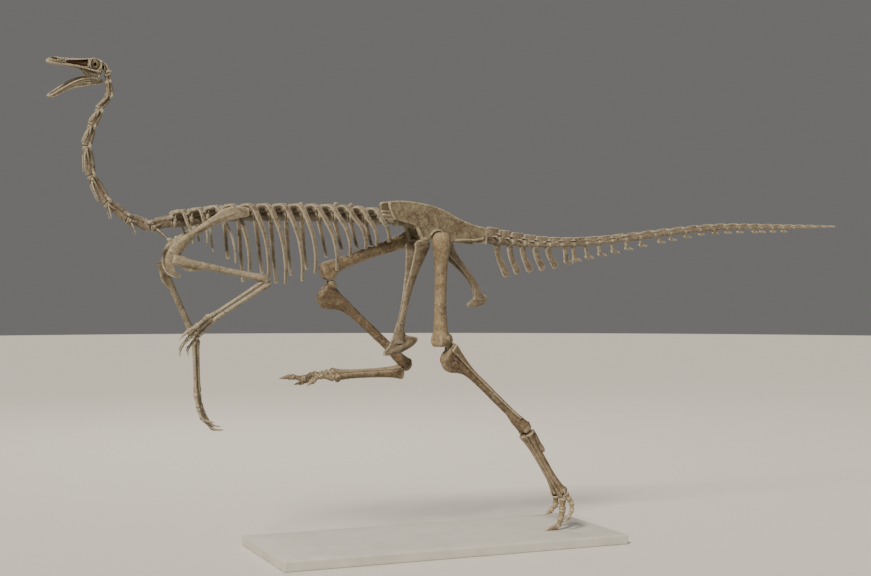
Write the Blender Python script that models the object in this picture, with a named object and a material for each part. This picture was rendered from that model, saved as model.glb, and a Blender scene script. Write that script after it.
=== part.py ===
"""Mounted skeleton of the ostrich dinosaur Gallimimus, running on a flat base.

Metres, +Z up.  The head points toward -X and the animal's left side toward -Y.
The origin is the middle of the underside of the base.  Every bone is a closed
solid skinned over rings of points; what grows on a bone is joined to it with an
exact union, and bones that meet are parted by a thin gap.
"""

from math import cos, exp, pi, radians, sin

import bmesh
import bpy
from mathutils import Vector

# ---------------------------------------------------------------- sizes

GAP = 0.0003                # parting between two pieces that meet
LEFT, RIGHT = -1, 1         # side of the body, as the sign of Y

BASE_LENGTH = 2.20
BASE_WIDTH = 0.90
BASE_THICKNESS = 0.06
BASE_EDGE = 0.008           # rounded upper edge of the base

# Lengths between joints of an adult animal
FEMUR = 0.660
TIBIA = 0.750
METATARSUS = 0.480
HUMERUS = 0.515

CERVICALS = 10
DORSALS = 13
SACRALS = 6
CAUDALS = 28
CHEVRONS = 18

# The backbone's line, from behind the skull to the tip of the tail, as X and
# height above the base.  It lies in the middle plane of the body.
NECK_LINE = (
    (-1.990, 2.712), (-1.976, 2.592), (-2.028, 2.506), (-2.070, 2.418),
    (-2.098, 2.304), (-2.076, 2.144), (-1.992, 1.998), (-1.880, 1.912),
    (-1.753, 1.870), (-1.627, 1.892),
)
BACK_LINE = (
    (-1.627, 1.892), (-1.483, 1.912), (-1.349, 1.932), (-1.171, 1.941),
    (-0.868, 1.947), (-0.619, 1.947), (-0.377, 1.933), (-0.234, 1.924),
    (0.050, 1.885), (0.335, 1.835),
)
TAIL_LINE = (
    (0.335, 1.835), (0.425, 1.824), (0.784, 1.799), (1.170, 1.821),
    (1.601, 1.876), (2.055, 1.924), (2.620, 1.937), (3.038, 1.947),
)
BACK_LENGTH = 1.252         # of the thirteen dorsal vertebrae

# How far each rib's tip lies behind and below its root, from the first rib to the last
RIB_REACHES = {
    LEFT: ((0.062, 0.130), (0.045, 0.150), (0.112, 0.270), (0.094, 0.322), (0.101, 0.372), (0.106, 0.402),
           (0.110, 0.388), (0.094, 0.345), (0.132, 0.328), (0.120, 0.245), (0.124, 0.200), (0.100, 0.175),
           (0.085, 0.145)),
    RIGHT: ((0.062, 0.130), (0.070, 0.200), (0.066, 0.250), (0.088, 0.388), (0.120, 0.340),
            (0.112, 0.400),
            (0.106, 0.356), (0.105, 0.322), (0.138, 0.250), (0.138, 0.206), (0.140, 0.190),
            (0.130, 0.168),
            (0.090, 0.140)),
}
CHEST_HALF_WIDTH = 0.185
RIB_HALF_WIDTH = 0.0125
RIB_HALF_THICKNESS = 0.0070

HIP_HALF_WIDTH = 0.140


# ---------------------------------------------------------------- geometry

def at(x, y, height):
    """A point given by its height above the top of the base."""
    return Vector((x, y, height + BASE_THICKNESS))


def toward(forward_swing, spread, side):
    """Direction of a limb bone: degrees swung forward from straight down and spread outward."""
    swing = radians(forward_swing)
    out = radians(spread)
    return Vector((-sin(swing) * cos(out), side * sin(out), -cos(swing) * cos(out)))


def blend(low, high, amount):
    return low + (high - low) * amount


class Course:
    """A smooth curve through points, read by the distance along it."""

    STEPS = 16

    def __init__(self, points):
        before = points[0] * 2 - points[1]
        after = points[-1] * 2 - points[-2]
        knots = [before] + list(points) + [after]
        self.places = []
        for a, b, c, d in zip(knots, knots[1:], knots[2:], knots[3:]):
            for step in range(self.STEPS):
                t = step / self.STEPS
                self.places.append(0.5 * (2 * b + (c - a) * t + (2 * a - 5 * b + 4 * c - d) * t ** 2
                                          + (3 * b - a - 3 * c + d) * t ** 3))
        self.places.append(points[-1].copy())
        self.reaches = [0.0]
        for low, high in zip(self.places, self.places[1:]):
            self.reaches.append(self.reaches[-1] + (high - low).length)
        self.length = self.reaches[-1]

    def point(self, distance):
        distance = min(max(distance, 0.0), self.length)
        index = 0
        while index < len(self.reaches) - 2 and self.reaches[index + 1] < distance:
            index += 1
        span = self.reaches[index + 1] - self.reaches[index]
        return self.places[index].lerp(self.places[index + 1], (distance - self.reaches[index]) / span)

    def heading(self, distance):
        reach = 0.012
        return (self.point(distance + reach) - self.point(distance - reach)).normalized()


def oval(centre, across, rise, half_width, half_height, sides=8, squareness=1.0):
    """Ring of points round an oval; a squareness under 1 makes it boxier."""
    ring = []
    for index in range(sides):
        angle = 2 * pi * (index + 0.5) / sides
        wide = abs(cos(angle)) ** squareness * (1 if cos(angle) > 0 else -1)
        high = abs(sin(angle)) ** squareness * (1 if sin(angle) > 0 else -1)
        ring.append(centre + across * (half_width * wide) + rise * (half_height * high))
    return ring


def outward(mesh):
    """The same closed mesh with all its faces pointing out."""
    bmesh.ops.recalc_face_normals(mesh, faces=mesh.faces)
    if mesh.calc_volume(signed=True) < 0:
        bmesh.ops.reverse_faces(mesh, faces=mesh.faces)
    return mesh


def shell(rings):
    """Closed mesh skinned over rings of points, filled at both ends."""
    mesh = bmesh.new()
    loops = [[mesh.verts.new(point) for point in ring] for ring in rings]
    for low, high in zip(loops, loops[1:]):
        for index in range(len(low)):
            after = (index + 1) % len(low)
            mesh.faces.new((low[index], low[after], high[after], high[index]))
    mesh.faces.new(loops[0])
    mesh.faces.new(loops[-1])
    return outward(mesh)


def tube(points, sizes, up, sides=6, squareness=1.0):
    """Closed tube through points; sizes are its half width and half height at each."""
    rings = []
    last = len(points) - 1
    for index, (centre, (half_width, half_height)) in enumerate(zip(points, sizes)):
        heading = (points[min(index + 1, last)] - points[max(index - 1, 0)]).normalized()
        across = up.cross(heading).normalized()
        rise = heading.cross(across).normalized()
        rings.append(oval(centre, across, rise, half_width, half_height, sides, squareness))
    return shell(rings)


def long_bone(start, end, front, stations, sides=8):
    """Closed limb bone from start to end.

    A station is how far along it is (0 to 1), its shift outward and forward, and
    its half width (side to side) and half depth (front to back).
    """
    axis = end - start
    down = axis.normalized()
    fore = (front - down * front.dot(down)).normalized()
    side = down.cross(fore)
    rings = []
    for reach, out, ahead, half_width, half_depth in stations:
        centre = start + axis * reach + side * out + fore * ahead
        rings.append(oval(centre, side, fore, half_width, half_depth, sides))
    return shell(rings)


def knob(centre, radii, fore=Vector((-1, 0, 0)), down=Vector((0, 0, -1)), sides=6):
    """Closed rounded lump; radii run outward, forward and along the bone."""
    down = down.normalized()
    fore = (fore - down * fore.dot(down)).normalized()
    side = down.cross(fore)
    rings = []
    for angle in (-70, -25, 25, 70):
        swell = cos(radians(angle))
        reach = centre + down * (radii[2] * sin(radians(angle)) * 1.04)
        rings.append(oval(reach, side, fore, radii[0] * swell, radii[1] * swell, sides))
    return shell(rings)


def plate(outline, thickness, rim, place):
    """Closed plate over an outline, thinned to its rim; place turns (u, v, w) into a point."""
    mesh = bmesh.new()
    for sign in (1, -1):
        verts = [mesh.verts.new((u, v, sign * rim)) for u, v in outline]
        face = mesh.faces.new(verts if sign > 0 else verts[::-1])
        face.normal_update()
        bmesh.ops.inset_region(mesh, faces=[face], thickness=thickness * 1.2, depth=thickness - rim)
    bmesh.ops.bridge_loops(mesh, edges=[edge for edge in mesh.edges if edge.is_boundary])
    for vert in mesh.verts:
        vert.co = place(*vert.co)
    return outward(mesh)


# ---------------------------------------------------------------- objects

def material(name, colour, roughness, metallic=0.0):
    made = bpy.data.materials.get(name)
    if made:
        return made
    made = bpy.data.materials.new(name)
    made.use_nodes = True
    shader = made.node_tree.nodes["Principled BSDF"]
    shader.inputs["Base Color"].default_value = (*colour, 1.0)
    shader.inputs["Roughness"].default_value = roughness
    shader.inputs["Metallic"].default_value = metallic
    return made


def pale_bone():
    return material("bone_pale", (0.62, 0.53, 0.38), 0.72)


def tan_bone():
    return material("bone_tan", (0.46, 0.37, 0.24), 0.70)


def ochre_bone():
    return material("bone_ochre", (0.42, 0.29, 0.16), 0.66)


def mottled_bone():
    return material("bone_mottled", (0.40, 0.32, 0.17), 0.68)


def base_paint():
    return material("base_paint", (0.62, 0.62, 0.60), 0.55)


def raw_object(name, mesh):
    data = bpy.data.meshes.new(name)
    mesh.to_mesh(data)
    mesh.free()
    made = bpy.data.objects.new(name, data)
    bpy.context.collection.objects.link(made)
    return made


def gathered(meshes):
    """One mesh that holds several closed shells."""
    whole = bmesh.new()
    for mesh in meshes:
        data = bpy.data.meshes.new("shell")
        mesh.to_mesh(data)
        mesh.free()
        whole.from_mesh(data)
        bpy.data.meshes.remove(data)
    return whole


def boolean(core, others, operation):
    """The exact union or difference of a closed mesh with several others."""
    body = raw_object("core", core)
    tool = raw_object("tool", gathered(others))
    step = body.modifiers.new(operation.title(), "BOOLEAN")
    step.operation = operation
    step.solver = "EXACT"
    step.use_self = len(others) > 1
    step.object = tool
    graph = bpy.context.evaluated_depsgraph_get()
    data = bpy.data.meshes.new_from_object(body.evaluated_get(graph))
    result = bmesh.new()
    result.from_mesh(data)
    for item in (body, tool):
        old = item.data
        bpy.data.objects.remove(item)
        bpy.data.meshes.remove(old)
    bpy.data.meshes.remove(data)
    bmesh.ops.dissolve_degenerate(result, edges=result.edges, dist=0.00002)
    return result


def joined(core, *grown):
    return boolean(core, list(grown), "UNION")


def cut(core, *cutters):
    return boolean(core, list(cutters), "DIFFERENCE")


def piece(name, mesh, finish, sharp=40):
    """Put a closed mesh in the scene as one named part."""
    bmesh.ops.triangulate(mesh, faces=mesh.faces)
    made = raw_object(name, mesh)
    made.data.materials.append(finish)
    made.data.shade_smooth()
    made.data.set_sharp_from_angle(angle=radians(sharp))
    return made


# ---------------------------------------------------------------- backbone

def backbone():
    """The whole backbone as one smooth curve, from behind the skull to the tail's tip."""
    places = NECK_LINE + BACK_LINE[1:] + TAIL_LINE[1:]
    return Course([at(x, 0.0, height) for x, height in places])


def mark(course, place):
    """Distance along the backbone of one of the points it runs through."""
    spot = at(place[0], 0.0, place[1])
    nearest = min(range(len(course.places)), key=lambda index: (course.places[index] - spot).length)
    return course.reaches[nearest]


def upright(course, distance):
    """Centre, sideways and dorsal directions of the backbone at a distance along it."""
    across = Vector((0, 1, 0))
    return course.point(distance), across, course.heading(distance).cross(across)


def vertebra_outline(centrum, keel, process, process_height, spine, top):
    """Right half of a vertebra's section, from the keel up to the top of the spine."""
    return (
        (centrum * 0.80, -keel * 0.70), (process, process_height), (spine, process_height * 1.25),
        (spine, top),
    )


def vertebra_ring(course, distance, *sizes):
    """Section of a vertebra: centrum and keel below, side processes, spine above."""
    centre, across, up = upright(course, distance)
    half = vertebra_outline(*sizes)
    outline = [(0.0, -sizes[1])] + list(half) + [(-wide, high) for wide, high in reversed(half)]
    return [centre + across * wide + up * high for wide, high in outline]


def half_ring(course, distance, side, *sizes):
    """One side of a vertebra's section, flat along the middle plane."""
    centre, across, up = upright(course, distance)
    outline = [(GAP / 2, -sizes[1])] + list(vertebra_outline(*sizes)) + [(GAP / 2, sizes[5])]
    return [centre + across * (side * wide) + up * high for wide, high in outline]


def neck_height(share):
    """Height of a neck vertebra, from the head (0) to the shoulders (1)."""
    return blend(0.046, 0.088, share)


def neck_stations(start, length, height):
    """Sections of one neck vertebra: front joint, waist and rear flare."""
    return (
        (start + 0.04 * length, (0.35 * height, 0.37 * height, 0.50 * height, 0.10 * height,
                                 0.10 * height,
                                 0.40 * height)),
        (start + 0.56 * length, (0.22 * height, 0.27 * height, 0.26 * height, 0.12 * height,
                                 0.06 * height,
                                 0.58 * height)),
        (start + 0.86 * length, (0.32 * height, 0.34 * height, 0.48 * height, 0.26 * height,
                                 0.09 * height,
                                 0.56 * height)),
    )


def neck_rib(course, start, length, height, index, side):
    """Thin rib of a neck vertebra, pointing back and, near the shoulders, also down."""
    reach = 0.68 * length if index < 7 else 0.052
    fall = 0.50 if index < 7 else 0.72 + 0.12 * (index - 7)
    points = []
    for share, out, low in ((0.0, 0.20, 0.14), (0.30, 0.42, 0.34), (1.0, 0.40, fall)):
        centre, across, up = upright(course, start + 0.16 * length + share * reach)
        points.append(centre + across * (side * out * height) - up * (low * height))
    sizes = ((0.006, 0.009), (0.005, 0.007), (0.0025, 0.003))
    return tube(points, sizes, Vector((0, 1, 0)), sides=4)


def neck(course):
    marks = [mark(course, place) for place in NECK_LINE]
    bounds = [0.0, marks[1] * 0.36] + marks[1:]
    for name, first, last in (("neck_upper", 0, 4), ("neck_middle", 4, 7), ("neck_lower", 7, 10)):
        rings = []
        ribs = []
        for index in range(first, last):
            start = bounds[index]
            length = bounds[index + 1] - start
            height = neck_height(index / (CERVICALS - 1))
            stations = neck_stations(start, length, height)
            if index == first:
                stations = ((start + GAP, stations[0][1]),) + stations[1:]
            rings += [vertebra_ring(course, distance, *sizes) for distance, sizes in stations]
            if index >= 2:
                ribs += [neck_rib(course, start, length, height, index, side) for side in (LEFT, RIGHT)]
        rings.append(vertebra_ring(course, bounds[last] - GAP, *stations[0][1]))
        piece(name, joined(shell(rings), *ribs), tan_bone())


def rib(course, index, side):
    """One rib: head and tubercle at its vertebra, then a bowed shaft down to the tip."""
    shoulders = mark(course, BACK_LINE[0])
    root = course.point(shoulders + (index + 0.5) * BACK_LENGTH / DORSALS)
    lean, drop = RIB_REACHES[side][index]
    width = 0.115 + (CHEST_HALF_WIDTH - 0.115) * sin(pi * (index + 1.5) / 14.5)
    if index < 4:
        width = 0.080 + 0.018 * index

    def spot(back, out, low):
        return root + Vector((back, side * out, -low))

    points = (
        spot(-0.008, 0.010, -0.018), spot(0.20 * lean, 0.040 + 0.64 * width, 0.012),
        spot(0.52 * lean, width, 0.42 * drop), spot(lean, 0.68 * width, drop),
    )
    thick = RIB_HALF_THICKNESS
    wide = RIB_HALF_WIDTH
    sizes = ((thick, wide * 0.85), (thick, wide * 1.1), (thick, wide), (thick * 0.7, wide * 0.7))
    rings = []
    for number, (point, (half_thickness, half_width)) in enumerate(zip(points, sizes)):
        before = points[max(number - 1, 0)]
        after = points[min(number + 1, len(points) - 1)]
        heading = (after - before).normalized()
        outward = Vector((1, 0, 0)).cross(heading).normalized()
        rings.append(oval(point, outward, heading.cross(outward),
                          half_thickness * 1.3, half_width * 1.3, 4))
    return shell(rings)


def rib_cage(course):
    shoulders = mark(course, BACK_LINE[0])
    length = BACK_LENGTH / DORSALS
    joint = (0.026, 0.036, 0.032, 0.018, 0.006, 0.030)
    middle = (0.021, 0.032, 0.078, 0.027, 0.005, 0.053)
    for side, name in ((LEFT, "rib_cage_left"), (RIGHT, "rib_cage_right")):
        rings = []
        for index in range(DORSALS):
            start = shoulders + index * length
            front = start + (GAP if index == 0 else 0.04 * length)
            rings.append(half_ring(course, front, side, *joint))
            rings.append(half_ring(course, start + 0.64 * length, side, *middle))
        rings.append(half_ring(course, shoulders + BACK_LENGTH - GAP, side, *joint))
        ribs = [rib(course, index, side) for index in range(DORSALS)]
        piece(name, joined(shell(rings), *ribs), tan_bone())


def sacrum(course):
    front_end = mark(course, BACK_LINE[0]) + BACK_LENGTH
    rear_end = mark(course, BACK_LINE[-1])
    length = (rear_end - front_end) / SACRALS
    rings = []
    for index in range(SACRALS):
        start = front_end + index * length
        front = start + (GAP if index == 0 else 0.05 * length)
        rings.append(vertebra_ring(course, front, 0.026, 0.034, 0.034, 0.018, 0.006, 0.045))
        rings.append(vertebra_ring(course, start + 0.5 * length, 0.021, 0.029, 0.044, 0.016, 0.006,
                                   0.054))
    rings.append(vertebra_ring(course, rear_end - GAP, 0.026, 0.034, 0.034, 0.018, 0.006, 0.045))
    piece("sacrum", shell(rings), tan_bone())


# ---------------------------------------------------------------- tail

def tail_height(share):
    """Height of a tail vertebra, from the hips (0) to the tip (1)."""
    return 0.068 * exp(-5.5 * share) + 0.036 * (1 - share ** 4) + 0.008


def tail_bounds(course):
    """Distances along the backbone of the ends of the tail's vertebrae: longest near the middle."""
    lengths = [0.089 + 0.030 * exp(-((index - 13.5) / 4) ** 2) for index in range(CAUDALS)]
    bounds = [mark(course, TAIL_LINE[0])]
    scale = (course.length - bounds[0]) / sum(lengths)
    for length in lengths:
        bounds.append(bounds[-1] + length * scale)
    return bounds


def tail_rings(course, start, end, height, side_process, gap):
    """Sections of one tail vertebra: front joint, waist with its side processes, rear."""
    length = end - start
    wide = 0.24 * height + 0.004
    rings = []
    for share, centrum, process, keel, top in (
            (gap / length, 1.0, 1.25, 0.42, 0.30), (0.50, 0.78, side_process, 0.36, 0.52),
            (0.88, 0.95, 1.20, 0.40, 0.58)):
        centre, across, up = upright(course, start + share * length)
        half = (
            (centrum * wide, -0.26 * height), (process * wide, 0.08 * height),
            (0.14 * wide + 0.001, top * height),
        )
        outline = [(0.0, -keel * height)] + list(half) + [(-out, high) for out, high in reversed(half)]
        rings.append([centre + across * out + up * high for out, high in outline])
    return rings


def chevron(course, distance, height, index):
    """Bone under a joint of the tail: a blade near the hips, a low skid farther back."""
    root, side, up = upright(course, distance)
    drop = 0.235 * exp(-0.107 * index)
    slant = 0.075 * exp(-0.12 * index) + 0.016
    foot = 0.019 if index < 5 else 0.024
    back = Vector((1, 0, 0))
    points = (
        root - up * (0.30 * height) - back * 0.010,
        root - up * (0.46 * height + 0.15 * drop) + back * (0.12 * slant),
        root - up * drop + back * (slant - 0.010),
    )
    sizes = ((0.013, 0.014), (0.009, 0.014), (0.005, foot))
    rings = []
    for point, (half_width, half_length) in zip(points, sizes):
        rings.append(oval(point, side, course.heading(distance), half_width * 1.2, half_length * 1.2, 4))
    return shell(rings)


def tail(course):
    bounds = tail_bounds(course)
    heights = [tail_height((bound - bounds[0]) / (bounds[-1] - bounds[0])) for bound in bounds]
    spans = (("tail_base", 0, 6), ("tail_middle", 6, 13), ("tail_rear", 13, 20),
             ("tail_tip", 20, CAUDALS))
    for name, first, last in spans:
        rings = []
        hung = []
        for index in range(first, last):
            process = 2.6 - 0.16 * index if index < 10 else 1.05
            gap = GAP if index == first else 0.0015
            vertebra = tail_rings(course, bounds[index], bounds[index + 1], heights[index], process, gap)
            rings += vertebra if index < 13 else vertebra[::2]
            if 0 < index <= CHEVRONS:
                place = bounds[index] + (0.030 if index == first else 0.0)
                hung.append(chevron(course, place, heights[index], index - 1))
        rings.append(tail_rings(course, bounds[last] - GAP, bounds[last] + 0.1, heights[last], 1.0,
                                0.0)[0])
        body = shell(rings)
        if hung:
            body = joined(body, *hung)
        piece(name, body, tan_bone())


# ---------------------------------------------------------------- skull

SKULL_YAW = -15             # degrees the beak is turned toward the animal's left
SKULL_ROLL = 13             # degrees the head is tipped over toward its left
BEAK_TIP = (-2.331, -0.070, 2.757)


def skull_place(back, out, rise):
    """A point of the head: distance behind the beak's tip, out to the right, and up."""
    turn = radians(SKULL_YAW)
    roll = radians(SKULL_ROLL)
    over = out * cos(roll) - rise * sin(roll)
    lift = out * sin(roll) + rise * cos(roll)
    return at(*BEAK_TIP) + Vector((back * cos(turn) + over * sin(turn),
                                   over * cos(turn) - back * sin(turn), lift))


def skull_oval(back, half_width, low, high, sides=10):
    centre = skull_place(back, 0.0, (low + high) / 2)
    across = skull_place(back, 1.0, 0.0) - skull_place(back, 0.0, 0.0)
    rise = skull_place(back, 0.0, 1.0) - skull_place(back, 0.0, 0.0)
    return oval(centre, across, rise, half_width, (high - low) / 2, sides, 0.85)


def pocket(outline, side, inner, outer):
    """Cutter for an opening in the side of the skull, from an outline of (back, rise)."""
    rings = []
    for out in (inner, outer):
        rings.append([skull_place(back, side * out, rise) for back, rise in outline])
    return shell(rings)


def round_outline(back, rise, half_length, half_height, sides=12):
    return [(back + half_length * cos(2 * pi * i / sides), rise + half_height * sin(2 * pi * i / sides))
            for i in range(sides)]


ORBIT_BACK = 0.270
ORBIT_RISE = -0.001
ORBIT_RADIUS = 0.031


def skull():
    stations = (
        (0.000, 0.008, -0.006, 0.005), (0.010, 0.015, -0.010, 0.015), (0.028, 0.023, -0.012, 0.026),
        (0.060, 0.026, -0.016, 0.028), (0.100, 0.026, -0.017, 0.026), (0.145, 0.028, -0.016, 0.026),
        (0.190, 0.034, -0.023, 0.030), (0.232, 0.044, -0.032, 0.036), (0.270, 0.049, -0.042, 0.042),
        (0.306, 0.045, -0.040, 0.040), (0.334, 0.034, -0.038, 0.018), (0.349, 0.018, -0.036, -0.008),
    )
    body = shell([skull_oval(*station) for station in stations])
    grown = []
    for side in (LEFT, RIGHT):
        points = [skull_place(0.304, side * 0.032, -0.020), skull_place(0.294, side * 0.036, -0.055),
                  skull_place(0.290, side * 0.038, -0.064)]
        grown.append(tube(points, ((0.008, 0.014), (0.006, 0.010), (0.010, 0.010)), Vector((1, 0, 0))))
    body = joined(body, *grown)
    snout_window = ((0.135, -0.008), (0.158, 0.012), (0.222, 0.017), (0.222, -0.014), (0.185, -0.013))
    cutters = []
    for side in (LEFT, RIGHT):
        cutters.append(pocket(round_outline(ORBIT_BACK, ORBIT_RISE, ORBIT_RADIUS, ORBIT_RADIUS),
                              side, 0.016, 0.08))
        cutters.append(pocket(round_outline(0.054, 0.018, 0.022, 0.007, 6), side, 0.010, 0.08))
        cutters.append(pocket(snout_window, side, 0.010, 0.08))
    piece("skull", cut(body, *cutters), pale_bone())


def sclerotic_ring(name, side):
    """Ring of small plates that lay in the eyeball, standing in the orbit."""
    plates = 10
    inner_radius = 0.0105
    outer_radius = 0.024
    mesh = bmesh.new()
    loops = []
    for radius, out in ((inner_radius, 0.029), (outer_radius, 0.024), (outer_radius, 0.0163),
                        (inner_radius, 0.0163)):
        loop = []
        for index in range(plates):
            angle = 2 * pi * index / plates
            lift = 0.0012 if index % 2 and out > 0.02 else 0.0
            spot = skull_place(ORBIT_BACK + radius * cos(angle), side * (out + lift),
                               ORBIT_RISE + radius * sin(angle))
            loop.append(mesh.verts.new(spot))
        loops.append(loop)
    for loop, other in zip(loops, loops[1:] + loops[:1]):
        for index in range(plates):
            after = (index + 1) % plates
            mesh.faces.new((loop[index], loop[after], other[after], other[index]))
    bmesh.ops.recalc_face_normals(mesh, faces=mesh.faces)
    piece(name, mesh, pale_bone())


def lower_jaw():
    half = (
        (0.312, 0.038, -0.080, 0.004, 0.007), (0.288, 0.039, -0.087, 0.007, 0.010),
        (0.255, 0.038, -0.086, 0.005, 0.014), (0.212, 0.035, -0.091, 0.005, 0.019),
        (0.165, 0.031, -0.110, 0.005, 0.018), (0.115, 0.026, -0.139, 0.005, 0.014),
        (0.070, 0.024, -0.169, 0.006, 0.012), (0.044, 0.018, -0.184, 0.006, 0.010),
        (0.030, 0.008, -0.190, 0.006, 0.008),
    )
    points = []
    sizes = []
    for back, out, rise, thick, high in half:
        points.append(skull_place(back, -out, rise))
        sizes.append((thick, high))
    for back, out, rise, thick, high in reversed(half):
        points.append(skull_place(back, out, rise))
        sizes.append((thick, high))
    piece("lower_jaw", tube(points, sizes, Vector((0, 0, 1)), sides=6), pale_bone())


# ---------------------------------------------------------------- hips

ACETABULUM = (-0.020, 1.817)
ACETABULUM_RADIUS = 0.052


def ilium(side, name):
    """Blade of the hip: long and low, leaning in above, with an arch over the socket."""
    hip_x, hip_height = ACETABULUM
    arch = []
    for step in range(7):
        angle = radians(20 + 140 * step / 6)
        arch.append((hip_x + ACETABULUM_RADIUS * cos(angle), hip_height + ACETABULUM_RADIUS * sin(angle)))
    outline = [
        (-0.335, 1.950), (-0.342, 1.995), (-0.325, 2.026), (-0.250, 2.036), (-0.150, 2.030),
        (-0.040, 2.010),
        (0.040, 1.985), (0.115, 1.945), (0.205, 1.900), (0.275, 1.876), (0.300, 1.850), (0.292, 1.796),
        (0.220, 1.797), (0.140, 1.806), (0.090, 1.806), (0.075, 1.786), (0.042, 1.784),
    ] + arch + [
        (-0.078, 1.800), (-0.128, 1.800), (-0.146, 1.840), (-0.130, 1.884), (-0.200, 1.916),
        (-0.290, 1.926),
    ]

    def place(u, v, w):
        lean = 0.078 - 0.14 * (v - hip_height)
        return at(u, side * (lean + w), v)

    return piece(name, plate(outline, 0.011, 0.006, place), mottled_bone())


def hip_shaft(side, course, sizes):
    """One side of the pubis or ischium, from points given as (X, half distance apart, height)."""
    rings = []
    for (x, out, height), (half_width, half_depth) in zip(course, sizes):
        rings.append(oval(at(x, side * out, height), Vector((0, 1, 0)), Vector((1, 0, 0)),
                          half_width, half_depth, 6))
    return shell(rings)


def pubis():
    """Both shafts, joined below along the middle, with the long foot at the end."""
    course = (
        (-0.118, 0.078, 1.7985), (-0.124, 0.074, 1.750), (-0.150, 0.048, 1.640), (-0.184, 0.015, 1.505),
        (-0.216, 0.009, 1.360), (-0.238, 0.008, 1.215), (-0.238, 0.008, 1.165),
    )
    sizes = ((0.016, 0.050), (0.013, 0.048), (0.010, 0.036), (0.014, 0.025), (0.013, 0.021),
             (0.013, 0.024),
             (0.012, 0.034))
    shafts = [hip_shaft(side, course, sizes) for side in (LEFT, RIGHT)]
    foot_points = [at(-0.348, 0, 1.124), at(-0.322, 0, 1.134), at(-0.262, 0, 1.150), at(-0.208, 0, 1.166),
                   at(-0.158, 0, 1.188), at(-0.118, 0, 1.209)]
    foot_sizes = ((0.008, 0.008), (0.014, 0.016), (0.017, 0.024), (0.016, 0.030), (0.012, 0.025),
                  (0.006, 0.009))
    foot = tube(foot_points, foot_sizes, Vector((0, 0, 1)), sides=6)
    piece("pubis", joined(shafts[0], shafts[1], foot), tan_bone())


def ischium():
    """Both shafts, running back and down from behind the sockets, joined below."""
    course = (
        (0.060, 0.078, 1.7815), (0.072, 0.074, 1.745), (0.124, 0.052, 1.690), (0.196, 0.026, 1.620),
        (0.256, 0.012, 1.545), (0.280, 0.009, 1.480), (0.286, 0.008, 1.440),
    )
    sizes = ((0.013, 0.024), (0.011, 0.028), (0.009, 0.026), (0.010, 0.022), (0.012, 0.021),
             (0.011, 0.024),
             (0.010, 0.034))
    shafts = [hip_shaft(side, course, sizes) for side in (LEFT, RIGHT)]
    foot_points = [at(0.216, 0, 1.412), at(0.246, 0, 1.418), at(0.300, 0, 1.438), at(0.344, 0, 1.452)]
    foot_sizes = ((0.008, 0.008), (0.012, 0.018), (0.011, 0.022), (0.006, 0.010))
    foot = tube(foot_points, foot_sizes, Vector((0, 0, 1)), sides=6)
    piece("ischium", joined(shafts[0], shafts[1], foot), tan_bone())


# ---------------------------------------------------------------- legs

def sideways(start, end, front, side):
    """Direction square to a bone and to its front, away from the middle of the body."""
    outward = (end - start).cross(front).normalized()
    return outward if outward.y * side > 0 else -outward


def bone_axes(start, end, front):
    """Lengthwise vector of a bone, its unit length and its forward direction."""
    axis = end - start
    down = axis.normalized()
    return axis, down, (front - down * front.dot(down)).normalized()


def femur(side, name, hip, knee, front):
    stations = (
        (-0.030, 0.010, 0.000, 0.022, 0.030), (0.000, 0.008, 0.000, 0.036, 0.042),
        (0.065, 0.004, 0.000, 0.042, 0.044),
        (0.160, 0.000, 0.000, 0.038, 0.035), (0.450, 0.000, 0.008, 0.035, 0.028),
        (0.700, 0.000, 0.008, 0.037, 0.030),
        (0.850, 0.000, 0.004, 0.048, 0.043), (0.950, 0.000, 0.004, 0.058, 0.050),
        (0.990, 0.000, 0.002, 0.048, 0.040),
    )
    axis, down, fore = bone_axes(hip, knee, front)
    across = down.cross(fore)
    sign = 1 if across.y * side > 0 else -1
    body = long_bone(hip, knee, front, [(reach, sign * out, ahead, wide, deep)
                                        for reach, out, ahead, wide, deep in stations])
    socket = at(blend(hip.x, ACETABULUM[0], 0.7), hip.y - side * 0.050, ACETABULUM[1] + 0.002)
    inward = (socket - hip).normalized()
    head = knob(socket, (0.034, 0.034, 0.026), fore, inward, 8)
    neck_bar = tube([hip + down * 0.026, socket], ((0.030, 0.030), (0.026, 0.026)), down, sides=6)
    grown = [head, neck_bar]
    for out in (-0.031, 0.031):
        centre = hip + axis * 0.925 + across * out - fore * 0.026
        grown.append(knob(centre, (0.022, 0.036, 0.038), fore, down))
    piece(name, joined(body, *grown), ochre_bone())


def tibia(name, knee, ankle, front):
    stations = (
        (0.018, 0.000, 0.018, 0.042, 0.046), (0.060, 0.000, 0.024, 0.043, 0.062),
        (0.120, 0.000, 0.024, 0.035, 0.054),
        (0.210, 0.000, 0.006, 0.029, 0.034), (0.360, 0.000, 0.000, 0.027, 0.026),
        (0.760, 0.000, 0.000, 0.029, 0.024),
        (0.900, 0.000, 0.002, 0.040, 0.028), (0.950, 0.000, 0.005, 0.044, 0.038),
        (0.990, 0.000, 0.005, 0.038, 0.030),
    )
    axis, down, fore = bone_axes(knee, ankle, front)
    body = long_bone(knee, ankle, front, stations)
    crest = knob(knee + axis * 0.090 + fore * 0.078, (0.015, 0.044, 0.056), fore, down)
    piece(name, joined(body, crest), ochre_bone())


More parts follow.
